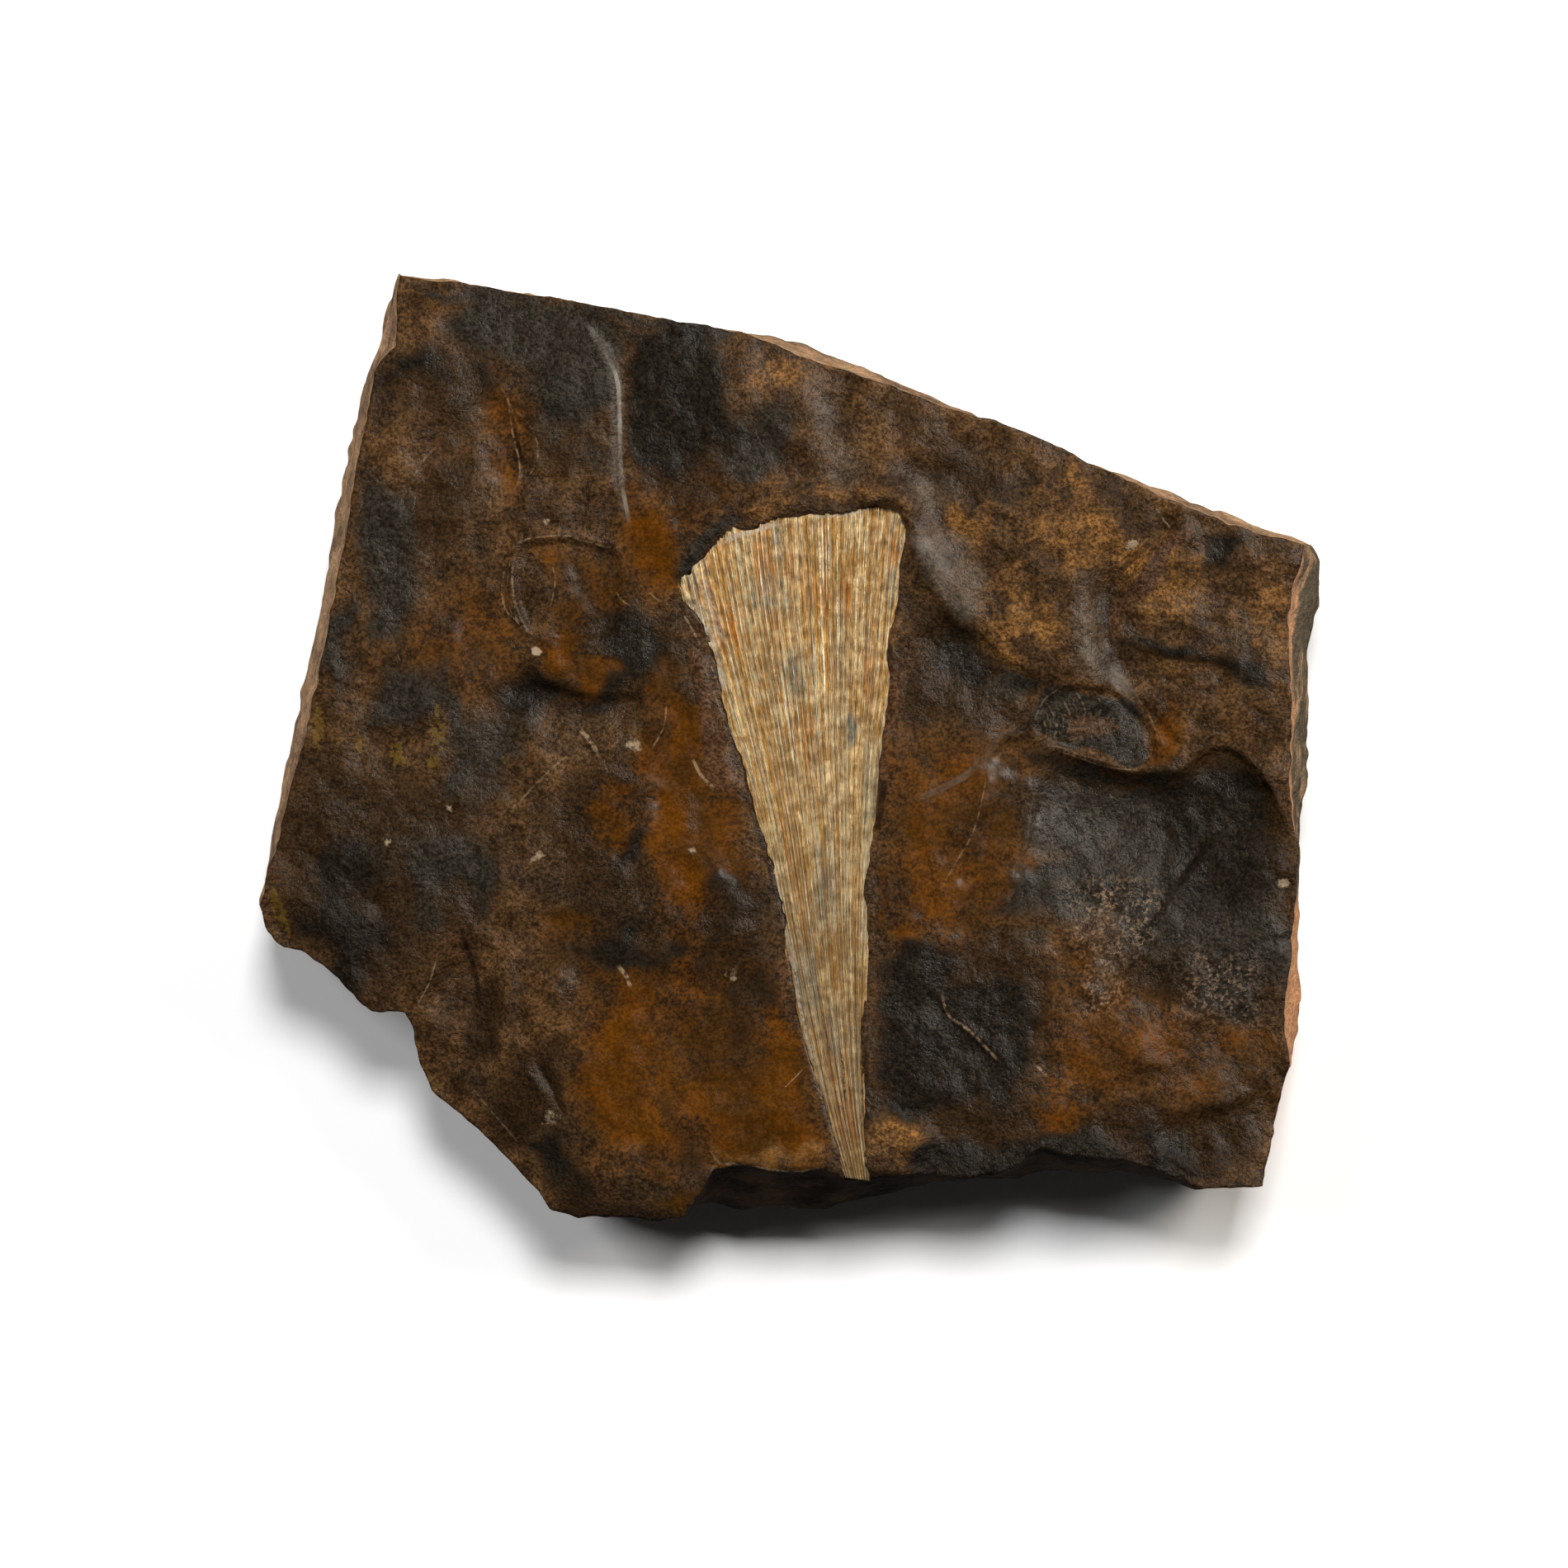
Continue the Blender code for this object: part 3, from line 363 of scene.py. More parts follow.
BLACK_AND_SHADE = [
    ([(40.1, -2.4), (47.0, -1.4), (52.9, -5.0), (53.8, -15.9), (42.9, -17.7), (41.5, -9.0)], 5, 0.9),
    ([(-45.8, 37.8), (-44.9, 42.3), (-39.9, 43.7), (-36.7, 42.3), (-36.7, 38.7), (-41.7, 40.3)], 3, 0.85),
    ([(-35.3, 42.8), (-31.7, 39.6), (-32.1, 37.3), (-34.9, 38.7)], 2.5, 0.8),
    ([(-19.5, 45.7), (-9.9, 46.1), (-6.7, 42.3), (-6.0, 38.7), (-6.7, 35.0), (-10.3, 31.2), (-15.3, 30.0),
      (-17.6, 31.4), (-18.0, 39.6), (-18.6, 44.1)], 2.5, 1.0),
    ([(-51.2, -12.2), (-45.3, -11.3), (-44.4, -14.0), (-47.1, -15.9), (-44.4, -20.4), (-47.1, -23.1),
      (-46.2, -26.8), (-49.9, -25.9), (-55.3, -20.4), (-54.9, -18.6), (-50.8, -18.6),
      (-51.7, -15.9)], 4, 0.9),
    ([(-21.7, 14.6), (-18.0, 15.0), (-14.4, 10.5), (-16.7, 6.9), (-19.9, 5.0), (-24.4, 5.2), (-19.0, 7.8),
      (-20.3, 10.5)], 2.5, 0.9),
    ([(-31.8, 6.4), (-29.4, 7.6), (-26.7, 7.0), (-26.2, 4.6), (-30.8, 3.6)], 2.5, 0.95),
    ([(-19.9, -13.1), (-18.5, -10.0), (-17.0, -9.5), (-16.7, -12.7), (-18.5, -14.5)], 2, 0.85),
    ([(-23.0, -22.2), (-18.0, -20.4), (-18.5, -18.1), (-16.2, -18.1), (-14.4, -22.2), (-12.1, -21.8),
      (-12.6, -23.1), (-21.2, -24.2)], 2, 0.85),
    ([(-10.3, -11.3), (-6.2, -13.6), (-4.0, -16.8), (-4.4, -20.4), (-8.0, -22.2), (-8.5, -26.8),
      (-11.2, -27.2), (-11.7, -25.0), (-9.9, -22.2), (-9.0, -17.7)], 2.5, 0.55),
    ([(-6.2, -26.8), (-2.6, -24.0), (0.1, -29.0), (-3.5, -30.4), (-4.4, -33.1), (-6.7, -32.2)], 2.5, 0.5),
    ([(-28.0, -45.0), (-25.3, -40.9), (-23.5, -45.0), (-21.7, -48.6), (-24.4, -50.6),
      (-27.6, -47.7)], 2.5, 0.7),
    ([(-13.5, -37.7), (-11.2, -39.0), (-9.0, -44.5), (-4.4, -47.2), (-9.9, -48.6),
      (-13.5, -45.0)], 2.5, 0.45),
    # Partly painted shade: the valley below the crest to the right of the leaf.
    ([(17.4, 11.9), (21.0, 11.2), (23.0, 9.1), (22.0, 6.1), (18.8, 6.7), (16.0, 8.5)], 2, 1.0),
    ([(10.6, -25.4), (12.9, -22.2), (17.0, -23.6), (17.4, -26.8), (23.3, -25.4), (25.4, -27.2),
      (26.0, -35.0), (22.9, -39.5), (20.6, -36.8), (15.6, -40.9), (11.0, -41.3), (8.8, -35.9),
      (9.7, -29.5)], 3.5, 1.1),
    # Painted shadow below the main ledge over the hollow.
    ([(25.9, -0.9), (31.0, -2.0), (38.3, -3.6), (43.8, -2.6), (47.4, -0.6), (51.0, -4.0), (52.4, -9.5),
      (48.8, -7.7), (43.8, -6.0), (36.5, -5.2), (30.1, -4.2)], 2.5, 0.9),
    ([(36.9, -22.2), (42.0, -21.8), (47.4, -21.3), (48.3, -25.0), (44.7, -28.6), (38.3, -28.1),
      (36.0, -25.9)], 4, 0.55),
    ([(44.9, 24.3), (50.6, 23.0), (47.9, 19.4), (45.8, 20.1)], 2.5, 0.9),
    ([(38.3, 12.3), (46.5, 10.5), (52.9, 9.6), (53.3, 6.9), (49.2, 7.8), (43.8, 9.6),
      (38.3, 10.5)], 1.2, 0.75),
    ([(37.9, -41.8), (42.9, -40.9), (44.7, -45.9), (46.5, -47.7), (40.1, -46.8)], 2, 0.75),
    # Partly painted shade along the lower rim.
    ([(13.8, -45.0), (16.5, -43.6), (22.4, -43.1), (29.2, -42.4), (40.1, -45.1), (47.4, -47.7),
      (26.5, -49.0), (13.8, -49.0)], 2, 0.9),
    # Painted shade along the lower rim.
    ([(-9.0, -46.6), (0.0, -47.5), (12.0, -47.8), (12.0, -50.5), (-9.0, -51.5)], 1.5, 0.9),
]
AMBER = [
    ([(-23.5, -22.2), (-3.0, -22.2), (2.9, -45.0), (-21.7, -45.0)], 6, 0.55),
    ([(-17.9, 28.0), (-16.7, 25.0), (-13.0, 24.1), (-12.4, 21.9), (-14.0, 18.7), (-15.5, 16.7),
      (-17.6, 18.7), (-18.2, 22.3)], 2.5, 1.15),
    ([(-15.3, 7.6), (-13.3, 8.2), (-11.2, 3.2), (-10.6, -1.8), (-7.6, -5.4), (-6.4, -8.6), (-4.9, -13.1),
      (-6.2, -14.5), (-9.9, -9.5), (-8.8, -15.0), (-10.0, -17.2), (-13.0, -17.7), (-15.3, -14.0),
      (-16.0, -8.6), (-14.9, -5.0), (-16.2, -2.2), (-14.4, 2.3)], 2.5, 1.05),
    ([(-20.0, -4.2), (-18.2, -5.1), (-19.1, -10.6), (-21.2, -10.9), (-21.5, -7.2)], 2, 0.9),
    ([(-26.7, -18.2), (-20.8, -18.6), (-23.3, -20.6), (-24.6, -22.9), (-26.2, -22.2)], 2, 0.9),
    ([(-17.6, -24.0), (-14.2, -25.0), (-15.1, -28.1), (-14.2, -34.0), (-13.7, -40.4), (-12.1, -44.0),
      (-15.3, -46.8), (-17.1, -45.0), (-19.9, -44.0), (-22.6, -39.5), (-23.5, -33.1), (-20.8, -29.0),
      (-19.4, -26.8)], 3, 1.05),
    ([(-8.0, -35.4), (-4.9, -34.5), (-3.0, -32.7), (-3.5, -29.7), (-0.8, -29.3), (1.0, -37.7),
      (3.5, -45.0), (0.1, -47.0), (-7.1, -46.3), (-9.9, -42.2), (-11.5, -38.1)], 3, 1.05),
    ([(-11.0, -28.1), (-8.0, -26.8), (-6.7, -30.2), (-9.9, -30.4)], 2, 0.85),
    ([(-25.1, 12.8), (-23.3, 12.1), (-23.3, 9.6), (-18.8, 8.2), (-18.8, 7.0), (-23.7, 6.9), (-27.5, 8.5),
      (-27.0, 10.5)], 1.5, 1.0),
    ([(22.7, -6.3), (23.6, -7.9), (22.1, -14.2), (20.3, -18.6), (18.8, -19.0), (17.4, -16.3),
      (20.1, -13.1), (21.0, -8.6)], 2, 0.95),
    ([(12.0, -6.8), (15.1, -7.2), (14.7, -11.3), (12.4, -13.3), (11.5, -10.4)], 2, 0.95),
    ([(12.1, -14.0), (14.5, -15.0), (14.0, -17.2), (12.4, -17.2)], 1.5, 0.85),
    ([(11.8, -20.2), (15.6, -18.1), (14.0, -22.2), (12.9, -24.2)], 1.5, 0.9),
    ([(28.1, -40.0), (31.0, -38.6), (32.9, -39.5), (31.0, -42.4), (28.3, -42.7)], 1.5, 0.85),
    ([(-15.5, -49.5), (-12.6, -48.0), (-7.9, -49.5), (-12.6, -51.0)], 1.5, 0.8),
    ([(23.3, -1.3), (25.6, -2.2), (24.7, -3.6)], 1.5, 0.7),
    ([(12.9, 0.5), (25.6, 0.5), (26.5, -8.6), (25.6, -18.6), (17.4, -23.1), (11.0, -17.7),
      (10.6, -6.8)], 4, 0.6),
    ([(27.4, -28.6), (34.7, -15.9), (35.6, -26.8), (52.9, -30.4), (53.8, -37.7), (31.0, -39.5),
      (26.5, -36.8)], 4, 0.5),
    ([(-36.2, 20.5), (-30.8, 13.2), (-29.0, 9.6), (-36.2, 6.9), (-47.1, 9.6), (-40.8, 13.2)], 4, 0.5),
    ([(-32.6, 38.7), (-30.0, 38.7), (-28.5, 32.4), (-30.8, 27.8), (-33.2, 31.4)], 2.5, 0.45),
    ([(-26.0, 21.5), (-19.5, 21.0), (-19.5, 16.0), (-22.0, 12.0), (-26.0, 13.0)], 3, 0.6),
    ([(9.0, -12.5), (10.1, -12.5), (10.1, -20.0), (9.0, -20.0)], 0.8, 0.8),
    ([(-13.5, 23.0), (-7.0, 27.5), (-10.0, 30.0), (-15.0, 27.0)], 2.5, 0.5),
    ([(40.0, 5.5), (43.3, 2.3), (42.2, -1.8), (40.3, -2.5), (41.0, 1.0)], 1.2, 0.9),
]
OCHRE = [
    ([(30.0, 31.2), (31.5, 30.7), (33.3, 28.0), (32.7, 27.0), (30.6, 28.0)], 1.2, 0.8),
    ([(30.0, 24.1), (33.8, 24.9), (37.9, 24.0), (39.0, 22.1), (37.4, 20.7), (33.0, 20.9),
      (31.0, 19.6)], 1.5, 1.1),
    ([(24.0, 27.0), (31.0, 29.0), (40.0, 26.5), (39.0, 20.0), (33.0, 19.0), (28.0, 15.0),
      (24.0, 20.0)], 4, 0.42),
    ([(40.1, 21.2), (43.8, 18.7), (44.4, 16.0), (44.0, 14.0), (45.4, 12.5), (41.0, 13.5), (39.2, 15.5),
      (40.0, 18.7)], 2.5, 0.45),
    ([(50.3, 18.1), (54.9, 16.7), (54.2, 13.2), (53.8, 10.3), (50.9, 11.4), (51.0, 14.1)], 2.5, 0.45),
    ([(36.5, 19.0), (41.5, 24.5), (46.0, 21.5), (44.5, 15.5), (38.0, 14.5)], 2.5, 0.62),
    ([(22.5, 17.5), (28.0, 18.5), (31.0, 14.0), (29.0, 11.0), (24.5, 12.5)], 2.0, 0.6),
    ([(17.4, 26.4), (21.5, 27.3), (22.4, 24.1), (21.0, 19.6), (17.4, 22.3)], 2, 0.7),
    ([(-2.6, 44.1), (2.4, 43.2), (2.4, 39.6), (-1.2, 39.1), (-3.0, 41.4)], 2.5, 0.6),
    ([(10.6, -40.9), (14.2, -40.9), (16.0, -43.6), (15.1, -46.0), (11.5, -46.3), (9.7, -44.0)], 1.8, 0.7),
    ([(-6.2, 26.4), (-2.6, 27.8), (0.1, 27.3), (3.8, 28.7), (6.5, 27.8), (11.0, 28.2), (12.9, 27.3),
      (12.4, 26.4), (6.5, 26.7), (1.5, 26.2), (-3.0, 25.5), (-5.3, 24.9)], 1.0, 0.55),
    ([(22.0, 11.4), (25.0, 8.8), (27.0, 9.4), (24.0, 12.6), (20.0, 14.2)], 1.5, 0.55),
    ([(-9.0, -43.6), (-8.2, -45.4), (-5.0, -45.6), (0.6, -46.4), (3.0, -45.9), (3.0, -45.0),
      (-5.0, -44.6)], 0.8, 0.55),
    ([(-41.5, 51.0), (-37.0, 51.0), (-37.0, 49.0), (-41.0, 49.4)], 1.5, 0.4),
    ([(0.0, 46.0), (6.0, 43.5), (4.0, 40.0), (-1.0, 43.0)], 2.5, 0.4),
]
MAROON = [
    ([(43.0, 26.0), (44.2, 25.5), (40.1, 20.5), (37.0, 16.0), (36.0, 12.3), (34.7, 12.8), (35.1, 16.9),
      (38.3, 21.4)], 0.5, 1.0),
    ([(-11.9, 12.3), (-9.9, 10.5), (-7.1, 2.3), (-4.9, -4.0), (-6.2, -5.9), (-9.0, -3.1), (-11.0, 0.5),
      (-9.9, 5.0)], 1.0, 0.9),
    ([(10.3, 9.6), (11.8, 10.5), (12.1, 5.0), (11.8, -3.1), (10.6, -4.0), (10.3, 2.3)], 0.8, 1.0),
    ([(30.6, 3.2), (35.0, 3.8), (36.6, 1.6), (35.0, 0.2), (31.6, 0.2)], 1.6, 0.75),
    ([(-24.0, 17.6), (-21.9, 17.8), (-22.0, 12.8), (-24.0, 13.0)], 1.5, 0.45),
    ([(-0.6, -22.6), (0.4, -22.8), (1.6, -30.0), (0.0, -29.5)], 0.8, 0.6),
]
FERNS = [
    ([(30.0, -15.5), (34.0, -15.0), (40.5, -16.5), (41.0, -20.5), (36.5, -24.5), (35.1, -29.0),
      (32.4, -29.0), (32.9, -23.1), (30.6, -20.0)], 2.0, 1.0),
    ([(44.5, -21.5), (52.0, -24.0), (52.5, -31.0), (43.5, -32.0), (42.5, -28.5)], 2.5, 0.7),
]
SHEEN = [
    ([(31.0, 19.6), (34.2, 19.6), (34.7, 13.2), (36.0, 9.6), (38.0, 5.6), (35.1, 6.9), (31.2, 8.0),
      (30.6, 13.2)], 2.4, 0.7),
    ([(13.3, 21.9), (17.0, 24.1), (20.0, 23.1), (21.5, 18.7), (20.1, 14.6), (18.8, 13.6), (17.0, 15.9),
      (14.5, 18.5)], 1.5, 0.8),
    ([(10.5, 30.0), (12.0, 31.4), (19.2, 29.8), (18.8, 27.6), (15.6, 24.5), (13.6, 26.0)], 1.8, 0.65),
    ([(2.4, 41.0), (3.8, 41.4), (5.6, 35.0), (7.9, 30.5), (7.0, 27.8), (3.8, 27.8), (4.2, 31.4),
      (2.4, 36.0)], 1.8, 0.6),
    ([(24.2, -4.5), (27.9, -5.0), (35.1, -7.2), (35.6, -11.3), (29.2, -12.2), (26.5, -9.5)], 5.0, 0.4),
    ([(-38.5, 48.2), (-37.1, 48.2), (-32.6, 35.0), (-31.5, 24.1), (-32.8, 20.5), (-33.5, 31.4),
      (-36.2, 39.6)], 1.5, 0.25),
    ([(-18.2, 24.6), (-18.7, 30.0), (-18.5, 39.6), (-19.6, 43.9), (-23.3, 47.3), (-20.9, 43.7),
      (-19.8, 39.5), (-20.0, 33.0), (-19.0, 26.9)], 0.7, 1.0),
    ([(30.3, -16.3), (35.1, -17.2), (37.0, -21.3), (40.1, -22.2), (36.0, -25.0), (35.1, -28.1),
      (32.9, -28.1), (33.3, -23.1), (31.0, -19.5)], 1.6, 0.6),
]
ROUGH = [
    ([(29.7, 31.4), (40.1, 27.8), (41.0, 24.1), (38.3, 18.7), (30.1, 18.7), (22.0, 24.1),
      (17.4, 27.8)], 3, 0.9),
    ([(-37.6, -25.0), (-30.8, -22.2), (-30.8, -35.9), (-36.2, -35.9), (-39.9, -30.4)], 3, 0.8),
    ([(47.4, 0.5), (56.6, -4.0), (57.0, -35.9), (52.0, -38.6), (54.0, -17.7), (52.3, -6.8)], 2, 0.9),
    ([(-13.0, 19.5), (-8.0, 27.8), (12.9, 30.0), (14.0, 26.0), (5.0, 24.0), (-5.3, 23.1)], 2, 1.0),
    ([(26.5, -27.7), (40.1, -28.6), (52.9, -29.5), (53.8, -36.8), (40.1, -38.6), (27.4, -35.9)], 3, 0.6),
    ([(-31.7, 42.3), (-20.5, 42.3), (-19.8, 27.8), (-23.5, 23.2), (-30.8, 24.1)], 3, 0.45),
    ([(-9.0, -45.0), (52.9, -43.1), (52.0, -49.7), (-9.0, -52.5)], 2, 0.6),
    ([(9.0, -40.9), (15.0, -40.9), (17.0, -43.6), (15.1, -47.0), (9.0, -47.0)], 2, 0.9),
    ([(-59.0, -10.0), (-50.0, -12.0), (-42.0, -24.0), (-44.0, -30.0), (-60.0, -20.0)], 3, 0.5),
]

# Thin pale edges and scratches: a line, how strong it is and its half width in millimetres.
PALE_LINES = [
    ([(-30.6, 21.9), (-29.4, 22.8), (-27.1, 23.2), (-24.4, 23.2), (-22.1, 22.5),
      (-19.4, 21.9)], 0.6, 0.10),
    ([(-30.2, 21.2), (-30.7, 19.6), (-30.6, 16.9), (-30.2, 14.1), (-29.3, 12.5)], 0.55, 0.08),
    ([(-31.5, 20.0), (-31.9, 17.3), (-31.4, 15.0), (-30.3, 14.0), (-29.3, 12.5)], 0.65, 0.08),
    ([(-26.4, 20.5), (-26.0, 18.2), (-26.5, 15.5)], 0.45, 0.08),
    ([(-32.1, 40.0), (-31.2, 38.2), (-31.0, 36.9), (-30.6, 34.1), (-30.0, 31.9), (-29.9, 30.5),
      (-30.1, 29.1), (-30.8, 27.8)], 0.6, 0.09),
    ([(-30.8, 37.6), (-29.1, 35.8), (-28.0, 33.7), (-28.0, 31.4), (-29.7, 28.7)], 0.4, 0.08),
    ([(-13.7, 5.0), (-13.9, 2.8), (-14.4, 1.4), (-15.5, -0.4)], 0.6, 0.08),
    ([(-23.5, 0.0), (-26.2, -2.2), (-29.0, -5.0), (-31.2, -7.2)], 0.4, 0.12),
    ([(-23.4, 2.1), (-22.1, 0.7), (-21.2, -0.9)], 1.0, 0.22),
    ([(-12.4, 15.5), (-11.0, 13.2), (-9.9, 11.0)], 0.7, 0.09),
    ([(-9.0, 9.6), (-7.9, 6.4), (-6.7, 3.2)], 0.6, 0.07),
    ([(-9.6, 9.0), (-8.5, 6.0), (-7.3, 2.8)], 0.4, 0.06),
    ([(-11.0, -0.9), (-9.9, -3.1), (-8.0, -5.0)], 0.8, 0.16),
    ([(21.8, -2.2), (21.0, -5.9), (20.0, -9.5), (17.4, -14.0), (16.5, -15.9)], 0.35, 0.08),
    ([(16.5, -26.8), (17.4, -29.5), (19.7, -31.3), (23.3, -35.0)], 0.9, 0.14),
    ([(27.0, -35.0), (28.3, -36.3)], 0.9, 0.14),
    ([(40.1, 26.4), (41.8, 24.1)], 0.8, 0.10),
    ([(-0.9, -37.7), (1.4, -35.4)], 0.8, 0.05),
    ([(37.6, 6.4), (39.7, 3.2), (40.6, 0.5)], 0.5, 0.08),
    ([(27.9, 0.0), (31.0, -0.9), (35.1, -2.2), (40.1, -2.7)], 0.45, 0.08),
    ([(-39.0, -22.7), (-39.9, -25.9), (-41.7, -29.0)], 0.6, 0.09),
    ([(-9.0, -44.0), (-8.0, -45.8), (-6.2, -46.0), (-2.1, -46.6), (0.6, -46.9), (3.6, -46.3)], 0.8, 0.15),
    ([(-19.1, -24.0), (-18.2, -25.1), (-17.6, -26.5)], 1.0, 0.20),
    ([(-41.7, 29.6), (-40.3, 31.9), (-39.0, 33.2)], 0.4, 0.10),
    ([(-15.8, 17.3), (-14.9, 16.4), (-13.3, 15.5), (-13.0, 14.6)], 0.5, 0.08),
    ([(-19.4, 17.3), (-18.5, 16.1), (-17.6, 15.5)], 0.5, 0.08),
    ([(-36.0, -37.0), (-30.0, -44.0)], 0.3, 0.10),
    ([(26.9, 2.9), (27.8, 5.1), (30.1, 6.9)], 0.4, 0.08),
    ([(54.6, 3.0), (54.4, -4.0)], 0.3, 0.10),
    ([(28.4, 4.6), (29.3, 2.6), (29.0, 0.9)], 0.5, 0.10),
    ([(29.8, 5.6), (30.8, 3.4), (30.4, 1.2)], 0.45, 0.10),
    ([(31.4, 6.2), (32.4, 4.2), (32.2, 2.4)], 0.4, 0.10),
    ([(27.6, 3.4), (28.2, 2.0), (28.0, 0.9)], 0.5, 0.09),
    ([(33.4, 6.3), (34.2, 4.8), (34.0, 3.6)], 0.3, 0.09),
]
# Painted highlights: smooth grey streaks along crests that catch the sheen light, in the same form.
HIGHLIGHT_STREAKS = [
    ([(-17.7, 24.0), (-18.7, 30.0), (-18.9, 37.0), (-19.3, 41.0), (-21.5, 45.5),
      (-23.5, 47.3)], 0.95, 0.21),
    ([(26.5, 1.9), (23.3, 1.4), (22.0, -0.4), (19.2, -3.1), (15.6, -5.0), (12.9, -5.9)], 0.20, 0.35),
    ([(31.5, 12.0), (33.8, 9.6), (36.4, 7.0), (38.0, 4.6)], 0.45, 0.7),
    ([(13.0, 24.5), (15.8, 20.5), (19.0, 15.5), (21.0, 13.0)], 0.30, 0.9),
]
# Pale specks and mustard stains on the face: middle x and y, half widths, turn in degrees, strength.
PALE = [
    (-26.9, 24.9, 0.35, 0.3, 0, 1.0),
    (-28.0, 10.5, 0.55, 0.4, -20, 1.3),
    (-44.4, -10.4, 0.5, 0.4, 0, 0.7),
    (-37.6, -6.8, 0.4, 0.4, 0, 0.7),
    (-28.0, -12.0, 0.9, 0.5, 30, 0.6),
    (-10.8, -11.3, 0.5, 0.3, 0, 0.7),
    (37.6, 22.3, 0.8, 0.45, 20, 1.0),
    (54.3, -15.0, 0.6, 0.5, 0, 0.9),
    (-26.6, -40.8, 1.2, 0.9, 20, 0.4),
    (-17.4, 0.2, 0.9, 0.7, 0, 0.6),
    (-6.7, -25.0, 0.8, 1.6, 0, 0.3),
]
YELLOW = [
    (-52.1, 2.3, 0.5, 2.6, -5, 0.9),
    (-47.6, 0.5, 0.3, 1.4, 0, 0.9),
    (-43.4, -0.6, 0.7, 1.5, 0, 0.8),
    (-39.0, 2.0, 0.9, 2.2, 0, 0.65),
    (-39.4, -1.8, 0.7, 0.6, 0, 1.0),
    (-31.5, -1.2, 0.5, 0.5, 0, 0.9),
    (-56.5, -18.0, 0.6, 2.6, 20, 0.9),
]

# Crumbs and crust around the leaf: a closed outline, how soft its edge is, and its strength.
CRUMB_HEIGHT = 0.42
CRUMBS = [
    ([(-13.2, 18.5), (-9.5, 25.0), (-4.0, 27.3), (5.0, 28.6), (12.9, 28.4), (12.8, 26.6), (5.0, 26.4),
      (-3.0, 25.4), (-7.5, 24.2), (-12.6, 18.3)], 1.2, 1.0),
    ([(-10.9, 10.5), (-9.5, 11.0), (-6.6, 0.0), (-4.5, -7.0), (-6.0, -7.5), (-9.0, -1.0)], 0.8, 0.5),
    ([(8.6, -44.0), (15.5, -41.0), (16.5, -45.5), (9.0, -47.5)], 1.2, 0.6),
]

# Painted shade in the gaps, creases and feet of ledges: a line, how strong it is and its half width in
# millimetres.
CREASE_SHADE_LINES = [
    ([(-5.0, -4.0), (-3.7, -8.7), (-2.3, -13.2), (-0.9, -18.5)], 1.0, 0.35),
    ([(10.4, -3.1), (9.9, -6.8), (9.4, -9.9)], 1.0, 0.35),
    ([(10.9, 11.6), (11.0, 7.8)], 1.0, 0.3),
    ([(-12.9, 18.4), (-10.4, 21.4), (-7.1, 24.4)], 0.8, 0.22),
    ([(8.2, -31.3), (8.4, -37.0), (8.5, -43.0)], 0.7, 0.25),
    ([(-28.2, -34.0), (-26.6, -37.0), (-24.4, -41.3)], 0.8, 0.3),
    ([(36.0, 12.3), (40.1, 10.5), (49.2, 9.1)], 0.7, 0.4),
    ([(-48.0, 29.1), (-39.9, 28.7)], 0.3, 0.3),
    ([(35.9, 9.8), (34.9, 13.0), (35.1, 17.8), (41.6, 24.6)], 1.0, 0.35),
    ([(43.6, 0.2), (46.2, 0.0), (49.2, -0.8), (52.0, -3.4), (54.0, -7.6)], 0.9, 0.3),
    ([(37.0, 8.6), (40.0, 7.8), (44.0, 8.0), (47.0, 8.4)], 0.7, 0.25),
    ([(-36.6, -19.6), (-35.2, -24.0), (-34.0, -30.0)], 0.9, 0.3),
    ([(-31.0, -31.0), (-29.6, -35.0), (-27.4, -38.6)], 0.9, 0.25),
    ([(-29.5, 7.6), (-25.3, 6.2), (-21.7, 5.6)], 0.8, 0.35),
    ([(-31.6, 39.0), (-30.4, 35.0), (-29.5, 30.5)], 0.9, 0.2),
    ([(-30.9, 21.0), (-31.3, 17.0), (-30.4, 13.6), (-27.0, 11.6), (-22.0, 11.9)], 0.5, 0.3),
    ([(-35.0, 36.0), (-34.0, 33.0), (-33.2, 30.0)], 0.3, 0.2),
]

# Patches of the leaf: middle x and y, half widths, turn in degrees, strength.
LEAF_BLUE = [
    (-2.2, 17.0, 2.4, 2.4, 0, 0.62),
    (-11.0, 17.5, 0.9, 2.2, 0, 0.75),
    (-4.0, 16.6, 1.0, 1.8, 0, 0.8),
    (-1.5, 22.5, 0.9, 2.6, 0, 0.8),
    (0.5, 7.7, 1.5, 3.0, 0, 0.75),
    (11.3, 17.3, 0.9, 2.4, 0, 0.75),
    (6.5, 1.8, 0.7, 1.6, 0, 0.8),
    (8.7, -5.0, 1.0, 5.0, 0, 0.6),
    (3.8, -16.0, 1.4, 5.0, 0, 0.6),
    (1.8, -26.0, 1.4, 5.0, 10, 0.75),
    (4.6, -31.0, 1.2, 4.0, 10, 0.6),
    (7.4, -36.0, 0.6, 6.0, 0, 0.6),
    (9.3, -46.8, 1.0, 0.9, 0, 0.8),
]
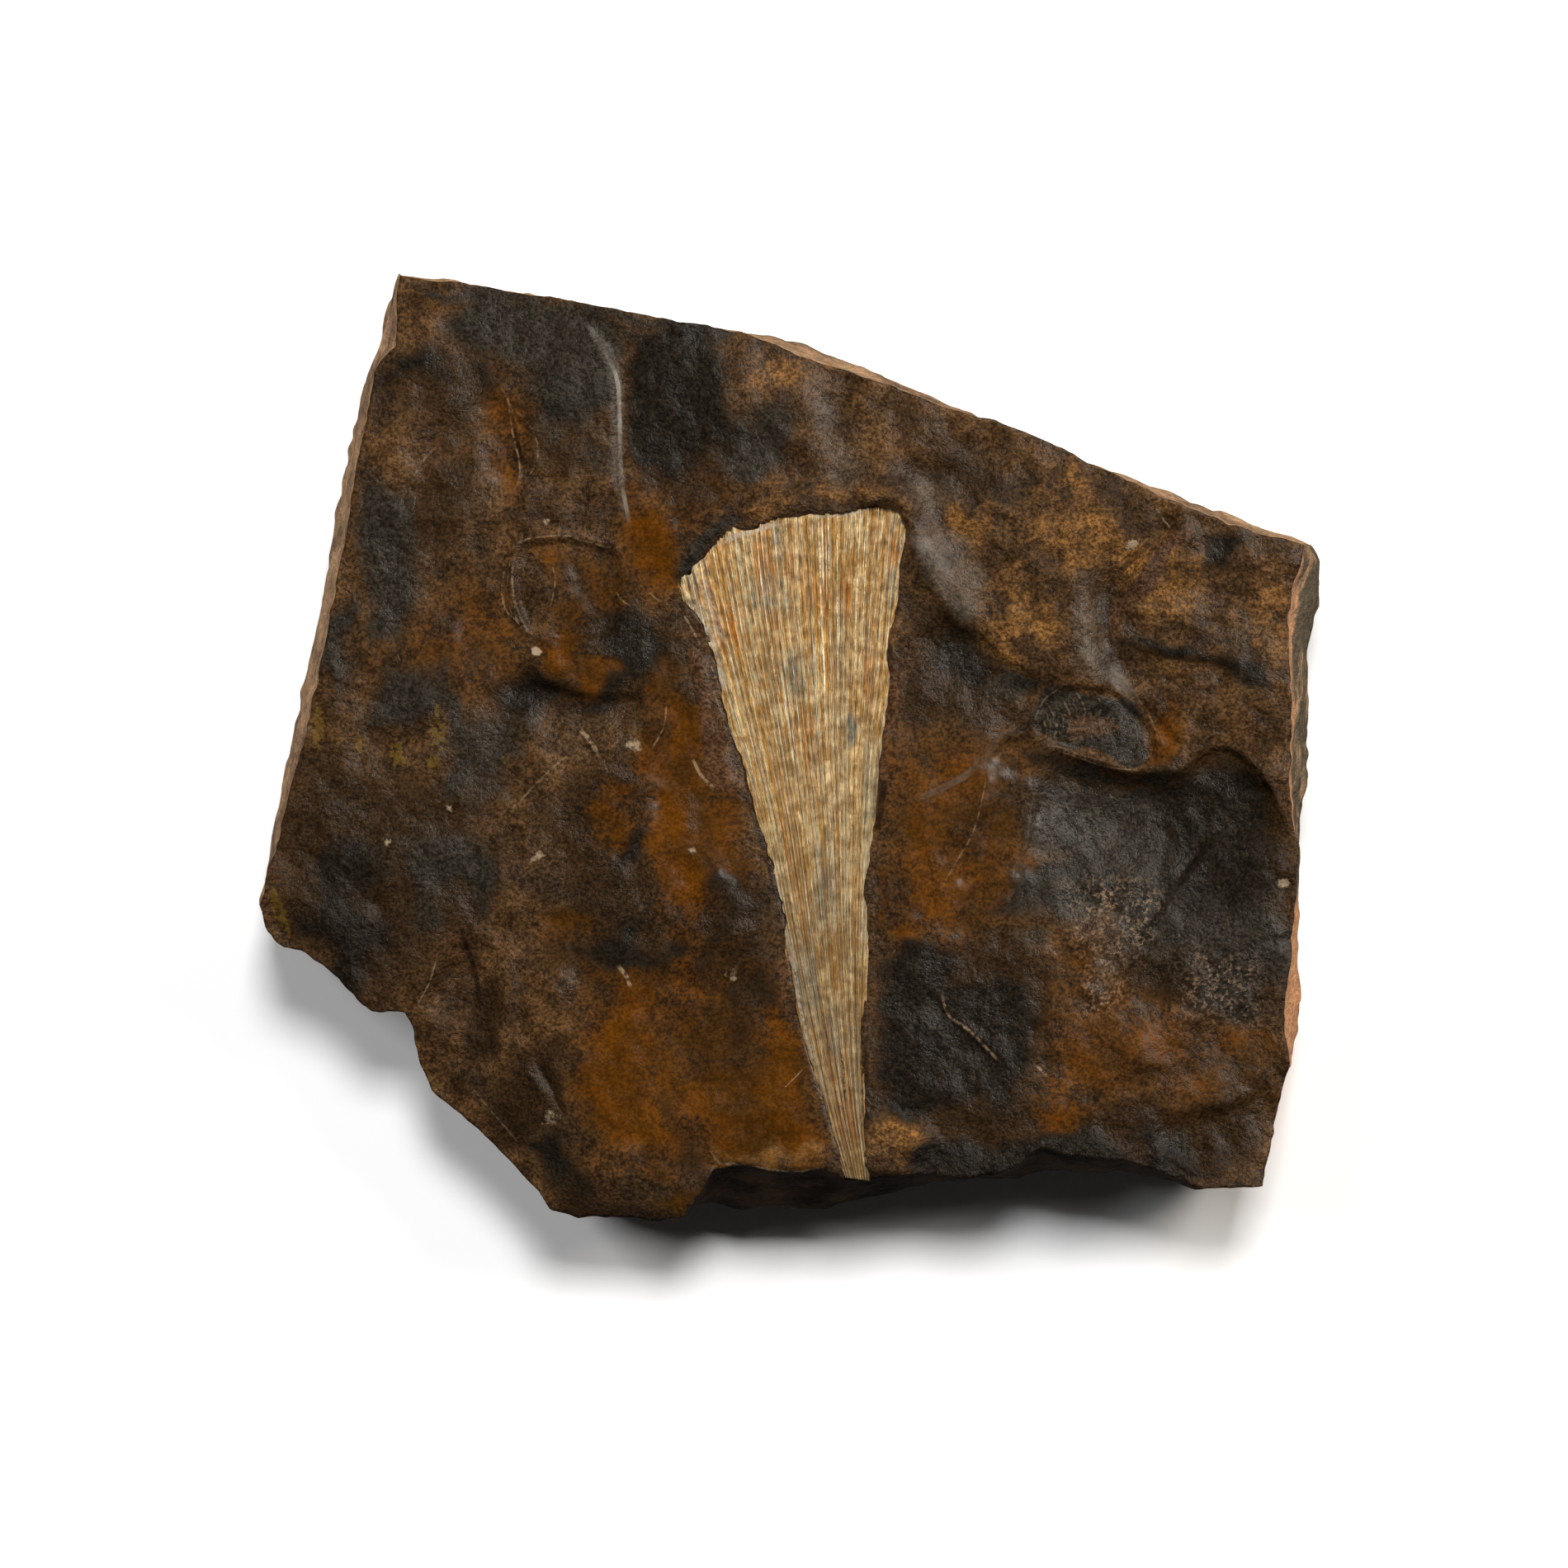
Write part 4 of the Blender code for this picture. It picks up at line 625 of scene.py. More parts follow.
LEAF_ORANGE = [
    (6.0, 17.0, 0.5, 2.8, 5, 0.9),
    (3.2, 16.8, 1.6, 2.8, 5, 0.75),
    (-6.2, 13.0, 0.6, 2.8, 12, 0.9),
    (11.5, 21.5, 0.5, 2.0, 0, 0.9),
    (-3.2, 19.5, 0.8, 3.5, 8, 0.8),
    (8.5, 8.0, 0.8, 5.0, 2, 0.7),
    (0.4, -26.4, 0.5, 3.2, 14, 1.0),
    (6.2, -41.0, 1.6, 4.0, 8, 0.75),
    (9.0, -41.0, 0.5, 1.4, 0, 0.9),
    (-8.0, 14.0, 1.0, 4.0, 14, 0.6),
    (2.0, 0.5, 2.4, 5.0, 6, 0.45),
    (5.2, -12.0, 1.4, 6.0, 6, 0.4),
    (5.0, -34.0, 1.6, 6.0, 8, 0.5),
    (-9.8, 17.0, 0.9, 1.6, 0, 0.8),
]
# Lumpy crust on the leaf, in the same form as the crumbs.
LEAF_CRUST = [
    ([(-12.3, 18.0), (-9.4, 20.8), (-8.0, 18.0), (-6.5, 12.0), (-7.4, 9.0), (-9.4, 11.5),
      (-11.0, 15.0)], 1.5, 1.0),
    ([(-12.0, 19.0), (-4.3, 24.4), (5.7, 26.2), (12.5, 26.4), (12.5, 24.6), (5.0, 24.8), (-4.0, 22.8),
      (-9.0, 19.6)], 1.0, 0.7),
]
# Thin white edges of the leaf, with painted highlights on its raised right rim, and its dark seams: a line,
# how strong it is and its half width in millimetres.
LEAF_WHITE_AND_HIGHLIGHT_LINES = [
    ([(-11.4, 16.5), (-9.6, 13.6), (-8.6, 10.0), (-7.4, 5.6)], 0.85, 0.62),
    ([(-10.0, 19.0), (-8.6, 15.0), (-7.6, 11.0)], 0.65, 0.40),
    ([(-1.2, -17.7), (0.3, -23.6), (1.2, -29.5), (3.3, -36.5), (4.4, -40.0)], 0.9, 0.2),
    ([(1.0, 25.3), (5.7, 25.6), (9.2, 26.5)], 0.8, 0.16),
    # Painted highlight on the leaf's raised right rim at the crown.
    ([(10.4, 26.5), (12.0, 26.0), (12.6, 24.4)], 1.0, 0.3),
    ([(-8.0, 22.6), (-5.0, 23.6), (-1.0, 24.9)], 0.9, 0.3),
    ([(8.9, -8.0), (8.2, -16.0), (8.0, -24.0)], 0.7, 0.16),
    # Painted highlight on the leaf's raised right rim.
    ([(12.4, 24.1), (12.0, 20.5), (11.5, 16.0)], 0.8, 0.15),
    ([(-2.1, 25.0), (-1.6, 22.5), (-0.8, 20.5)], 0.7, 0.12),
    ([(-11.9, 18.6), (-9.8, 20.8), (-7.0, 23.5)], 0.5, 0.18),
    ([(3.2, -42.0), (5.2, -46.5)], 0.6, 0.2),
]
LEAF_DARK_LINES = [
    ([(5.3, -33.0), (5.8, -36.0), (6.0, -39.5)], 0.8, 0.14),
    ([(7.7, -31.3), (7.8, -37.0), (7.9, -43.0)], 0.7, 0.15),
    ([(-12.0, 17.3), (-10.0, 14.0), (-9.2, 12.4)], 0.5, 0.15),
    ([(2.5, -24.0), (3.6, -30.0), (4.6, -35.0)], 0.5, 0.12),
    ([(7.0, -22.0), (7.2, -30.0)], 0.5, 0.10),
    ([(-1.5, -12.0), (0.8, -21.0)], 0.4, 0.10),
]


def tone(red, green, blue):
    """A colour as it looks on a level face in the studio, 0 to 255 a channel, as a shader's base colour."""
    parts = (np.array([red, green, blue]) / 255.0).tolist()
    linear = [c / 12.92 if c <= 0.04045 else ((c + 0.055) / 1.055) ** 2.4 for c in parts]
    return tuple(c / LIGHT_LEVEL for c in linear)


def smooth(amount):
    """Ease from 0 to 1 with no slope at either end: 3 t squared minus 2 t cubed."""
    t = np.clip(amount, 0.0, 1.0)
    return t * t * (3.0 - 2.0 * t)


def noise(x, y, scale, seed):
    """Smooth seeded noise, about -1 to 1: a lattice of random heights a scale apart, eased between."""
    side = 97
    lattice = np.random.default_rng(seed).uniform(-1.0, 1.0, (side, side))
    column = np.floor(x / scale).astype(int)
    row = np.floor(y / scale).astype(int)
    across = smooth(x / scale - column)
    along = smooth(y / scale - row)
    left, right = column % side, (column + 1) % side
    lower, upper = row % side, (row + 1) % side
    low = lattice[left, lower] * (1 - across) + lattice[right, lower] * across
    high = lattice[left, upper] * (1 - across) + lattice[right, upper] * across
    return low * (1 - along) + high * along


def layered_noise(x, y, scale, octaves, seed):
    """Noise plus finer noise: each octave is half as wide and six tenths as high as the last."""
    total = np.zeros(np.broadcast(x, y).shape)
    for octave in range(octaves):
        total += 0.6**octave * noise(x + 7.3 * octave, y - 3.1 * octave, scale / 2**octave, seed + octave)
    return total


def curve(points, closed=False, steps=5):
    """A smooth line through points: each span is a cubic that leaves and arrives along its neighbours."""
    spots = np.asarray(points, float)
    if closed:
        around = np.vstack([spots[-1:], spots, spots[:2]])
    else:
        around = np.vstack([2 * spots[0] - spots[1], spots, 2 * spots[-1] - spots[-2]])
    before, start, end, after = around[:-3], around[1:-2], around[2:-1], around[3:]
    t = np.linspace(0.0, 1.0, steps, endpoint=False)[:, None, None]
    line = 0.5 * (2 * start + (end - before) * t + (2 * before - 5 * start + 4 * end - after) * t**2
                  + (3 * start - before - 3 * end + after) * t**3)
    line = line.transpose(1, 0, 2).reshape(-1, 2)
    return np.vstack([line, spots[:1] if closed else spots[-1:]])


def measure_from(x, y, line):
    """For each place: its distance to a line, +1 or -1 for the line's left or right, and 0 to 1 along it."""
    points = np.asarray(line, float)
    steps = np.diff(points, axis=0)
    lengths = np.hypot(steps[:, 0], steps[:, 1])
    before = np.concatenate(([0.0], np.cumsum(lengths)[:-1]))
    nearest = np.full(x.shape, np.inf)
    sides = np.ones(x.shape)
    along = np.zeros(x.shape)
    for (px, py), (sx, sy), length, start in zip(points[:-1], steps, lengths, before):
        dx, dy = x - px, y - py
        share = np.clip((dx * sx + dy * sy) / length**2, 0.0, 1.0)
        gap = np.hypot(dx - share * sx, dy - share * sy)
        closer = gap < nearest
        nearest = np.where(closer, gap, nearest)
        sides = np.where(closer, np.sign(sx * dy - sy * dx), sides)
        along = np.where(closer, (start + share * length) / lengths.sum(), along)
    return nearest, sides, along


def fade_ends(along, part=0.18):
    """1 in the middle of a line, easing to 0 at its two ends."""
    return smooth(np.minimum(along, 1.0 - along) / part)


def inside(x, y, ring):
    """True where a place lies inside a closed outline, by counting the sides to its right."""
    points = np.asarray(ring, float)
    crossed = np.zeros(x.shape, bool)
    for (ax, ay), (bx, by) in zip(points, np.roll(points, -1, axis=0)):
        spans = (ay > y) != (by > y)
        reach = ax + (y - ay) * (bx - ax) / (by - ay if by != ay else 1.0)
        crossed ^= spans & (x < reach)
    return crossed


def close_to(x, y, points, margin):
    """True for the places in the box around some points, widened by a margin."""
    low, high = np.min(points, axis=0) - margin, np.max(points, axis=0) + margin
    return (x > low[0]) & (x < high[0]) & (y > low[1]) & (y < high[1])


def zones(x, y, outlines, softer=1.0):
    """How far each place lies in any of some zones: half on the outline, full half a feather inside it."""
    most = np.zeros(x.shape)
    for outline, feather, strength in outlines:
        feather = feather * softer
        near = close_to(x, y, outline, feather)
        part_x, part_y = x[near], y[near]
        gap = measure_from(part_x, part_y, outline + outline[:1])[0]
        depth = np.where(inside(part_x, part_y, outline), gap, -gap)
        most[near] = np.maximum(most[near], strength * smooth(0.5 + depth / feather))
    return most


def cover(x, y, patches):
    """How far each place lies in any of some soft ellipses: full in the middle, half at the half width."""
    most = np.zeros(x.shape)
    for middle_x, middle_y, half_x, half_y, turn, strength in patches:
        angle = np.radians(turn)
        dx, dy = x - middle_x, y - middle_y
        u = (dx * np.cos(angle) + dy * np.sin(angle)) / half_x
        v = (dy * np.cos(angle) - dx * np.sin(angle)) / half_y
        most = np.maximum(most, strength * smooth((1.6 - np.hypot(u, v)) / 1.2))
    return most


def thin_lines(x, y, lines):
    """For thin lines: the signed distance to the nearest one in half widths, and how strongly it shows."""
    far = 9.0
    nearest = np.full(x.shape, far)
    signed = np.full(x.shape, far)
    shown = np.zeros(x.shape)
    for points, strength, half_width in lines:
        near = close_to(x, y, points, 1.5)
        gap, side, along = measure_from(x[near], y[near], curve(points))
        closer = gap < nearest[near]
        nearest[near] = np.where(closer, gap, nearest[near])
        signed[near] = np.where(closer, side * gap / half_width, signed[near])
        drawn = strength * fade_ends(along) * smooth((1.4 - gap) / 0.5)
        shown[near] = np.where(closer, drawn, shown[near])
    return signed, shown


def swells(x, y):
    """The broad, even unevenness that the slab and the leaf share."""
    return SWELL_HEIGHT * noise(x, y, SWELL_SCALE, 11)


def relief(x, y):
    """Height of the face from its mean level.

    Swells and lumps, then ledges: level on the high side, and below the crest a face that falls by one
    minus exp(-distance / face) and comes back by exp(-distance / reach). Folds are eased steps that fade
    away on both sides. Ridges and domes are bell curves, scars are hollows with a short eased edge."""
    outline = leaf_outline()
    by_the_leaf = measure_from(x, y, outline + outline[:1])[0]
    lumps = LUMP_HEIGHT * noise(x, y, LUMP_SCALE, 12)
    lumps += RIPPLE_HEIGHT * layered_noise(x, y, RIPPLE_SCALE, 2, 14)
    height = swells(x, y) + lumps * smooth(by_the_leaf / 5.0)
    wander_x = x + 0.35 * noise(x, y, 2.3, 31)
    wander_y = y + 0.35 * noise(x, y, 2.3, 32)
    for line, rise, face, reach in LEDGES:
        gap, side, along = measure_from(wander_x, wander_y, curve(line))
        fall = (1.0 - np.exp(-gap / face)) * np.exp(-gap / reach)
        height -= rise * np.where(side < 0, fall, 0.0) * fade_ends(along, 0.12)
    for line, rise, face, reach in FOLDS:
        gap, side, along = measure_from(x, y, curve(line))
        height += rise * (smooth(side * gap / face + 0.5) - 0.5) * np.exp(-gap / reach) * fade_ends(along)
    for line, rise, half_width in RIDGES:
        gap, _, along = measure_from(wander_x, wander_y, curve(line))
        height += rise * np.exp(-((gap / half_width) ** 2)) * (0.4 + 0.6 * fade_ends(along))
    for ring, depth, edge in SCARS:
        outline = curve(ring, closed=True)
        gap = measure_from(wander_x, wander_y, outline)[0]
        height -= depth * smooth(gap / edge) * inside(wander_x, wander_y, outline)
    for middle_x, middle_y, half_x, half_y, rise in DOMES:
        height += rise * np.exp(-(((x - middle_x) / half_x) ** 2) - ((y - middle_y) / half_y) ** 2)
    return height


def spread(points, count, rises_count=1.0):
    """Even stations along a line: count + 1 rows of its columns, spaced by the length of its first two."""
    points = np.asarray(points, float)
    steps = np.diff(points[:, :2], axis=0)
    travelled = np.concatenate(([0.0], np.cumsum(np.hypot(steps[:, 0], rises_count * steps[:, 1]))))
    stations = np.linspace(0.0, travelled[-1], count + 1)
    return np.column_stack([np.interp(stations, travelled, column) for column in points.T])


def fill_between(start, end, first, last):
    """Grid between four border lines: each inner point blends the borders it faces (a Coons patch)."""
    u = np.linspace(0.0, 1.0, len(first))[None, :, None]
    v = np.linspace(0.0, 1.0, len(start))[:, None, None]
    across = (1 - u) * start[:, None, :] + u * end[:, None, :]
    along = (1 - v) * first[None, :, :] + v * last[None, :, :]
    corners = ((1 - u) * (1 - v) * first[0] + u * (1 - v) * first[-1]
               + (1 - u) * v * last[0] + u * v * last[-1])
    return across + along - corners


def even_out(values, places, reach):
    """Average a closed row of values over their neighbours, each weighed by a bell curve of its distance."""
    total = places[-1]
    apart = np.abs(places[:-1, None] - places[None, :-1])
    apart = np.minimum(apart, total - apart)
    weights = np.exp(-((apart / reach) ** 2))
    return (weights / weights.sum(axis=1, keepdims=True)) @ values


def ragged(line, seed, depth=0.16):
    """A border line with the small nicks of a broken edge; its two ends stay where they are."""
    travelled = np.linspace(0.0, 1.0, len(line))
    place = np.concatenate(([0.0], np.cumsum(np.hypot(*np.diff(line[:, :2], axis=0).T))))
    fade = smooth(np.minimum(travelled, 1.0 - travelled) / 0.02)
    nicks = depth * layered_noise(place, np.full(len(line), float(seed)), 1.6, 2, seed) * fade
    heading = np.gradient(line[:, :2], axis=0)
    heading /= np.hypot(heading[:, 0], heading[:, 1])[:, None] + 1e-9
    worn = line.copy()
    worn[:, :2] += np.column_stack([heading[:, 1], -heading[:, 0]]) * nicks[:, None]
    return worn


def rim_lines():
    """The four borders of the face, left and right going down, top and bottom going right."""
    return {
        "left": ragged(spread(LEFT_RIM, FACE_ROWS), 41),
        "right": ragged(spread(RIGHT_RIM, FACE_ROWS), 42),
        "top": ragged(spread(TOP_RIM, FACE_COLUMNS, RISES_COUNT), 43),
        "bottom": ragged(spread(BOTTOM_RIM, FACE_COLUMNS, RISES_COUNT), 44),
    }


def leaf_outline():
    """The leaf's outline once round, from its base up the left side, over the crown and down the right."""
    return LEAF_LEFT + LEAF_CROWN[1:] + LEAF_RIGHT[::-1][1:]


def face_surface(lines):
    """The fossil face: rows by columns of x, y and height, hollowed where the leaf is seated.

    The height is the relief, plus chips as a level less the absolute value of layered noise, so that they
    meet in sharp crests, plus grain and crumbs. It eases off by a hyperbolic tangent at the very top."""
    left, right, top, bottom = (lines[side][:, :2] for side in ("left", "right", "top", "bottom"))
    plan = fill_between(left, right, top, bottom)
    x, y = plan[..., 0], plan[..., 1]
    roughness = zones(x, y, ROUGH)
    chips = CHIP_HEIGHT * (0.3 + 0.7 * roughness) * (0.35 - np.abs(layered_noise(x, y, CHIP_SCALE, 3, 16)))
    height = FACE_HEIGHT + relief(x, y) + chips
    height += (GRAIN_HEIGHT + ROUGH_HEIGHT * roughness) * layered_noise(x, y, 2.6, 4, 51)
    height += CRUMB_HEIGHT * zones(x, y, CRUMBS) * layered_noise(x, y, 1.5, 2, 55)
    outline = leaf_outline()
    gap = measure_from(x, y, outline + outline[:1])[0]
    under_leaf = smooth((gap - 0.1) / 0.5) * inside(x, y, outline)
    seat = FACE_HEIGHT + swells(x, y) - LEAF_THICKNESS - LEAF_SINK
    height += (np.minimum(seat, height) - height) * under_leaf
    start = HIGHEST - LEVELLING
    eased = start + LEVELLING * np.tanh((height - start) / LEVELLING)
    height = np.where(height > start, eased, height)
    return np.dstack([plan, height])


def flank_surface(lines, rim_heights):
    """Rings of the flank, layer by layer from the rim down, and how much each point is of each side.

    A ring lies an eased share of the way from the rim to the widest line, then from there to the foot. The
    bedding's noise moves it out or in. Its height falls evenly from the rim's to nothing."""
    left, bottom = lines["left"], lines["bottom"]
    right, top = lines["right"][::-1], lines["top"][::-1]
    runs = [(left, "left"), (bottom, "bottom"), (right, "right"), (top, "top")]
    stations = np.concatenate([run[:-1] for run, _ in runs])
    tucks = np.concatenate([np.full(len(run) - 1, TUCK[side]) for run, side in runs])
    rim, widest = stations[:, :2], stations[:, 2:]
    steps = np.hypot(*np.diff(np.vstack([widest, widest[:1]]), axis=0).T)
    places = np.concatenate(([0.0], np.cumsum(steps)))
    eased = even_out(widest, places, CORNER_ROUNDING)
    heading = np.roll(eased, -1, axis=0) - np.roll(eased, 1, axis=0)
    heading /= np.hypot(heading[:, 0], heading[:, 1])[:, None]
    outward = np.column_stack([heading[:, 1], -heading[:, 0]])
    foot = eased - outward * even_out(tucks, places, 2 * CORNER_ROUNDING)[:, None]
    rings = []
    for level in np.linspace(0.0, 1.0, FLANK_RINGS + 1)[1:]:
        out = smooth(level / WIDEST_LEVEL)
        back = max(0.0, (level - WIDEST_LEVEL) / (1.0 - WIDEST_LEVEL))
        place = rim + (widest - rim) * out
        place = place + (foot - place) * smooth(back)
        depth = np.full(len(rim), FACE_HEIGHT * level)
        layer = LAYER_HEIGHT * noise(places[:-1], 3.0 * depth, 4.0, 21)
        layer += LAYER_GRAIN * noise(places[:-1], 6.0 * depth, 1.2, 22)
        lift = np.sin(np.pi * np.clip(level, 0.0, 0.97)) ** 0.5
        chamfer = BACK_CHAMFER * max(0.0, (level - BACK_CHAMFER_LEVEL) / (1.0 - BACK_CHAMFER_LEVEL))
        place = place + outward * (lift * (layer - 0.15) - chamfer)[:, None]
        rings.append(np.column_stack([place, rim_heights * (1.0 - level)]))
    weights = {}
    for name in ("left", "right", "top"):
        here = np.concatenate([np.full(len(run) - 1, float(side == name)) for run, side in runs])
        weights[name] = even_out(here, places, 1.0)
    return rings, weights


def back_surface(foot):
    """Rings of the underside: the foot drawn in towards its middle, on a plane with shallow hollows."""
    middle = foot[:, :2].mean(axis=0)
    rings = []
    for step in range(1, BACK_RINGS + 1):
        share = 1.0 - (step / (BACK_RINGS + 1)) ** 0.9
        plan = middle + (foot[:, :2] - middle) * share
        hollow = BACK_HOLLOW * smooth(noise(plan[:, 0], plan[:, 1], 9.0, 61))
        rings.append(np.column_stack([plan, hollow]))
    return rings, np.array([*middle, 0.1])


def ring_quads(first, second):
    """Faces between two closed rings of point numbers, the second inside or below the first."""
    return np.column_stack([first, second, np.roll(second, -1), np.roll(first, -1)])


def grid_quads(rows, columns):
    """Faces of a grid of point numbers, rows going down and columns going right, facing up."""
    numbers = np.arange(rows * columns).reshape(rows, columns)
    corners = (numbers[:-1, :-1], numbers[1:, :-1], numbers[1:, 1:], numbers[:-1, 1:])
    return np.stack(corners, -1).reshape(-1, 4)


def grid_rim(rows, columns):
    """Point numbers once round a grid: down its left side, along the bottom, up the right and back."""
    numbers = np.arange(rows * columns).reshape(rows, columns)
    return np.concatenate([numbers[:-1, 0], numbers[-1, :-1], numbers[:0:-1, -1], numbers[0, :0:-1]])


def make_mesh(name, points, quads, triangles=()):
    """A smooth mesh of points in millimetres, kept inside the solids' box."""
    low, high = np.array(CAD_BOX[0]), np.array(CAD_BOX[1])
    places = np.clip(np.asarray(points) * MM, low, high)
    mesh = bpy.data.meshes.new(name)
    faces = np.asarray(quads).tolist() + np.asarray(triangles, int).reshape(-1, 3).tolist()
    mesh.from_pydata(places.tolist(), [], faces)
    mesh.shade_smooth()
    mesh.validate()
    return mesh


def set_value(mesh, name, values):
    """Store one number for each point of a mesh, for its material to read."""
    layer = mesh.attributes.new(name, "FLOAT", "POINT")
    layer.data.foreach_set("value", np.asarray(values, np.float32).ravel())


def set_lines(mesh, x, y, tables, on_face=1.0):
    """Store the signed distance and the strength of each kind of thin line, for the material to draw."""
    for name, lines in tables.items():
        signed, shown = thin_lines(x, y, lines)
        set_value(mesh, name, signed)
        set_value(mesh, name + "_on", shown * on_face)


class Nodes:
    """Adds shader nodes to one tree. An input is a plain value or another node's output."""

    def __init__(self, tree):
        self.tree = tree

    def add(self, kind, inputs=None, **settings):
        """A node of a kind, with its inputs by number or name and its settings."""
        node = self.tree.nodes.new(kind)
        for key, value in settings.items():
            setattr(node, key, value)
        for key, value in (inputs or {}).items():
            if isinstance(value, bpy.types.NodeSocket):
                self.tree.links.new(value, node.inputs[key])
            else:
                node.inputs[key].default_value = value
        return node

    def math(self, operation, first, second=0.0):
        """One of Blender's sums of two values."""
        return self.add("ShaderNodeMath", {0: first, 1: second}, operation=operation).outputs[0]

    def times(self, first, second):
        """A product."""
        return self.math("MULTIPLY", first, second)

    def plus(self, first, second):
        """A sum."""
        return self.math("ADD", first, second)

    def minus(self, first, second):
        """A difference."""
        return self.math("SUBTRACT", first, second)

    def larger(self, first, second):
        """The larger of two values."""
        return self.math("MAXIMUM", first, second)

    def remap(self, value, low, high, to_low=0.0, to_high=1.0):
        """A value eased from one range to another, and held at its ends."""
        inputs = {"Value": value, "From Min": low, "From Max": high, "To Min": to_low, "To Max": to_high}
        node = self.add("ShaderNodeMapRange", inputs, interpolation_type="SMOOTHSTEP", clamp=True)
        return node.outputs["Result"]

    def mix(self, share, first, second, blend="MIX"):
        """Two colours mixed: all of the first at a share of 0, all of the second at 1."""
        node = self.add("ShaderNodeMix", data_type="RGBA", blend_type=blend)
        sockets = [node.inputs["Factor"]] + [s for s in node.inputs if s.type == "RGBA"]
        for socket, value in zip(sockets, (share, first, second)):
            if isinstance(value, bpy.types.NodeSocket):
                self.tree.links.new(value, socket)
            elif socket.type == "RGBA":
                socket.default_value = (*value[:3], 1.0)
            else:
                socket.default_value = value
        return next(s for s in node.outputs if s.type == "RGBA")

    def shade(self, colour, amount):
        """A colour made lighter or darker by a factor."""
        grey = self.add("ShaderNodeCombineColor", {0: amount, 1: amount, 2: amount}).outputs[0]
        return self.mix(1.0, colour, grey, "MULTIPLY")

    def noise(self, place, scale, detail=3.0, roughness=0.6, distortion=0.0):
        """Cloudy noise, 0 to 1."""
        inputs = {"Vector": place, "Scale": scale, "Detail": detail, "Roughness": roughness,
                  "Distortion": distortion}
        return self.add("ShaderNodeTexNoise", inputs).outputs["Fac"]

    def value(self, name):
        """A number that is stored for each point of the mesh."""
        return self.add("ShaderNodeAttribute", attribute_name=name).outputs["Fac"]


def new_group(name, inputs, outputs):
    """A shader node group with named number, vector or colour sockets."""
    group = bpy.data.node_groups.new(name, "ShaderNodeTree")
    kinds = {"value": "NodeSocketFloat", "vector": "NodeSocketVector", "colour": "NodeSocketColor"}
    for label, kind in inputs:
        group.interface.new_socket(label, in_out="INPUT", socket_type=kinds[kind])
    for label, kind in outputs:
        group.interface.new_socket(label, in_out="OUTPUT", socket_type=kinds[kind])
    nodes = Nodes(group)
    entry = nodes.add("NodeGroupInput")
    leave = nodes.add("NodeGroupOutput")
    return group, nodes, entry.outputs, leave.inputs


def mineral_grain_group():
    """Mineral grain: clouds and fine mottling at sizes given as counts in a metre, flecks and hairlines."""
    group, nodes, given, out = new_group(
        "Mineral Grain",
        [("Place", "vector"), ("Cloud Count", "value"), ("Grain Count", "value")],
        [(label, "value") for label in ("Cloud", "Grain", "Blotch", "Flecks", "Hairs")],
    )
    cloud = nodes.noise(given["Place"], given["Cloud Count"], 8.0, 0.62, 0.25)
    grain = nodes.noise(given["Place"], given["Grain Count"], 4.0, 0.62)
    blotch = nodes.plus(nodes.times(cloud, 1.9), nodes.times(grain, 1.1))
    blotch = nodes.minus(blotch, 1.0)
    cells = nodes.add("ShaderNodeTexVoronoi", {"Vector": given["Place"], "Scale": given["Grain Count"]})
    chance = nodes.add("ShaderNodeSeparateColor", {0: cells.outputs["Color"]}).outputs[0]
    radius = nodes.remap(chance, 0.86, 1.0, 0.0, 0.12)
    reach = nodes.minus(radius, cells.outputs["Distance"])
    flecks = nodes.remap(reach, 0.0, 0.05)
    ridge = nodes.noise(given["Place"], nodes.times(given["Cloud Count"], 1.6), 3.0, 0.5, 0.8)
    ridge = nodes.math("ABSOLUTE", nodes.minus(ridge, 0.5))
    hairs = nodes.times(nodes.remap(ridge, 0.002, 0.006, 1.0, 0.0), nodes.remap(grain, 0.54, 0.62))
    for label, result in (("Cloud", cloud), ("Grain", grain), ("Blotch", blotch), ("Flecks", flecks),
                          ("Hairs", hairs)):
        nodes.tree.links.new(result, out[label])
    return group


def broken_edge_group():
    """Broken edge: a soft mask, moved by noise where it is above nothing and then cut at one half."""
    group, nodes, given, out = new_group(
        "Broken Edge",
        [("Mask", "value"), ("Noise", "value"), ("Patchiness", "value"), ("Softness", "value")],
        [("Mask", "value")],
    )
    swing = nodes.times(nodes.minus(given["Noise"], 0.5), given["Patchiness"])
    swing = nodes.times(swing, nodes.remap(given["Mask"], 0.0, 0.25))
    level = nodes.plus(given["Mask"], swing)
    low = nodes.minus(0.5, given["Softness"])
    high = nodes.plus(0.5, given["Softness"])
    nodes.tree.links.new(nodes.remap(level, low, high), out["Mask"])
    return group


def shared_group(name, build):
    """The shader group of that name, built the first time it is asked for."""
    return bpy.data.node_groups.get(name) or build()


def use_group(nodes, name, build, inputs):
    """Place a shared group in a material."""
    node = nodes.add("ShaderNodeGroup", node_tree=shared_group(name, build))
    for key, value in inputs.items():
        if isinstance(value, bpy.types.NodeSocket):
            nodes.tree.links.new(value, node.inputs[key])
        else:
            node.inputs[key].default_value = value
    return node.outputs


def patchy(nodes, mask, breaks, patchiness, softness):
    """A mask with a broken edge."""
    inputs = {"Mask": mask, "Noise": breaks, "Patchiness": patchiness, "Softness": softness}
    return use_group(nodes, "Broken Edge", broken_edge_group, inputs)["Mask"]


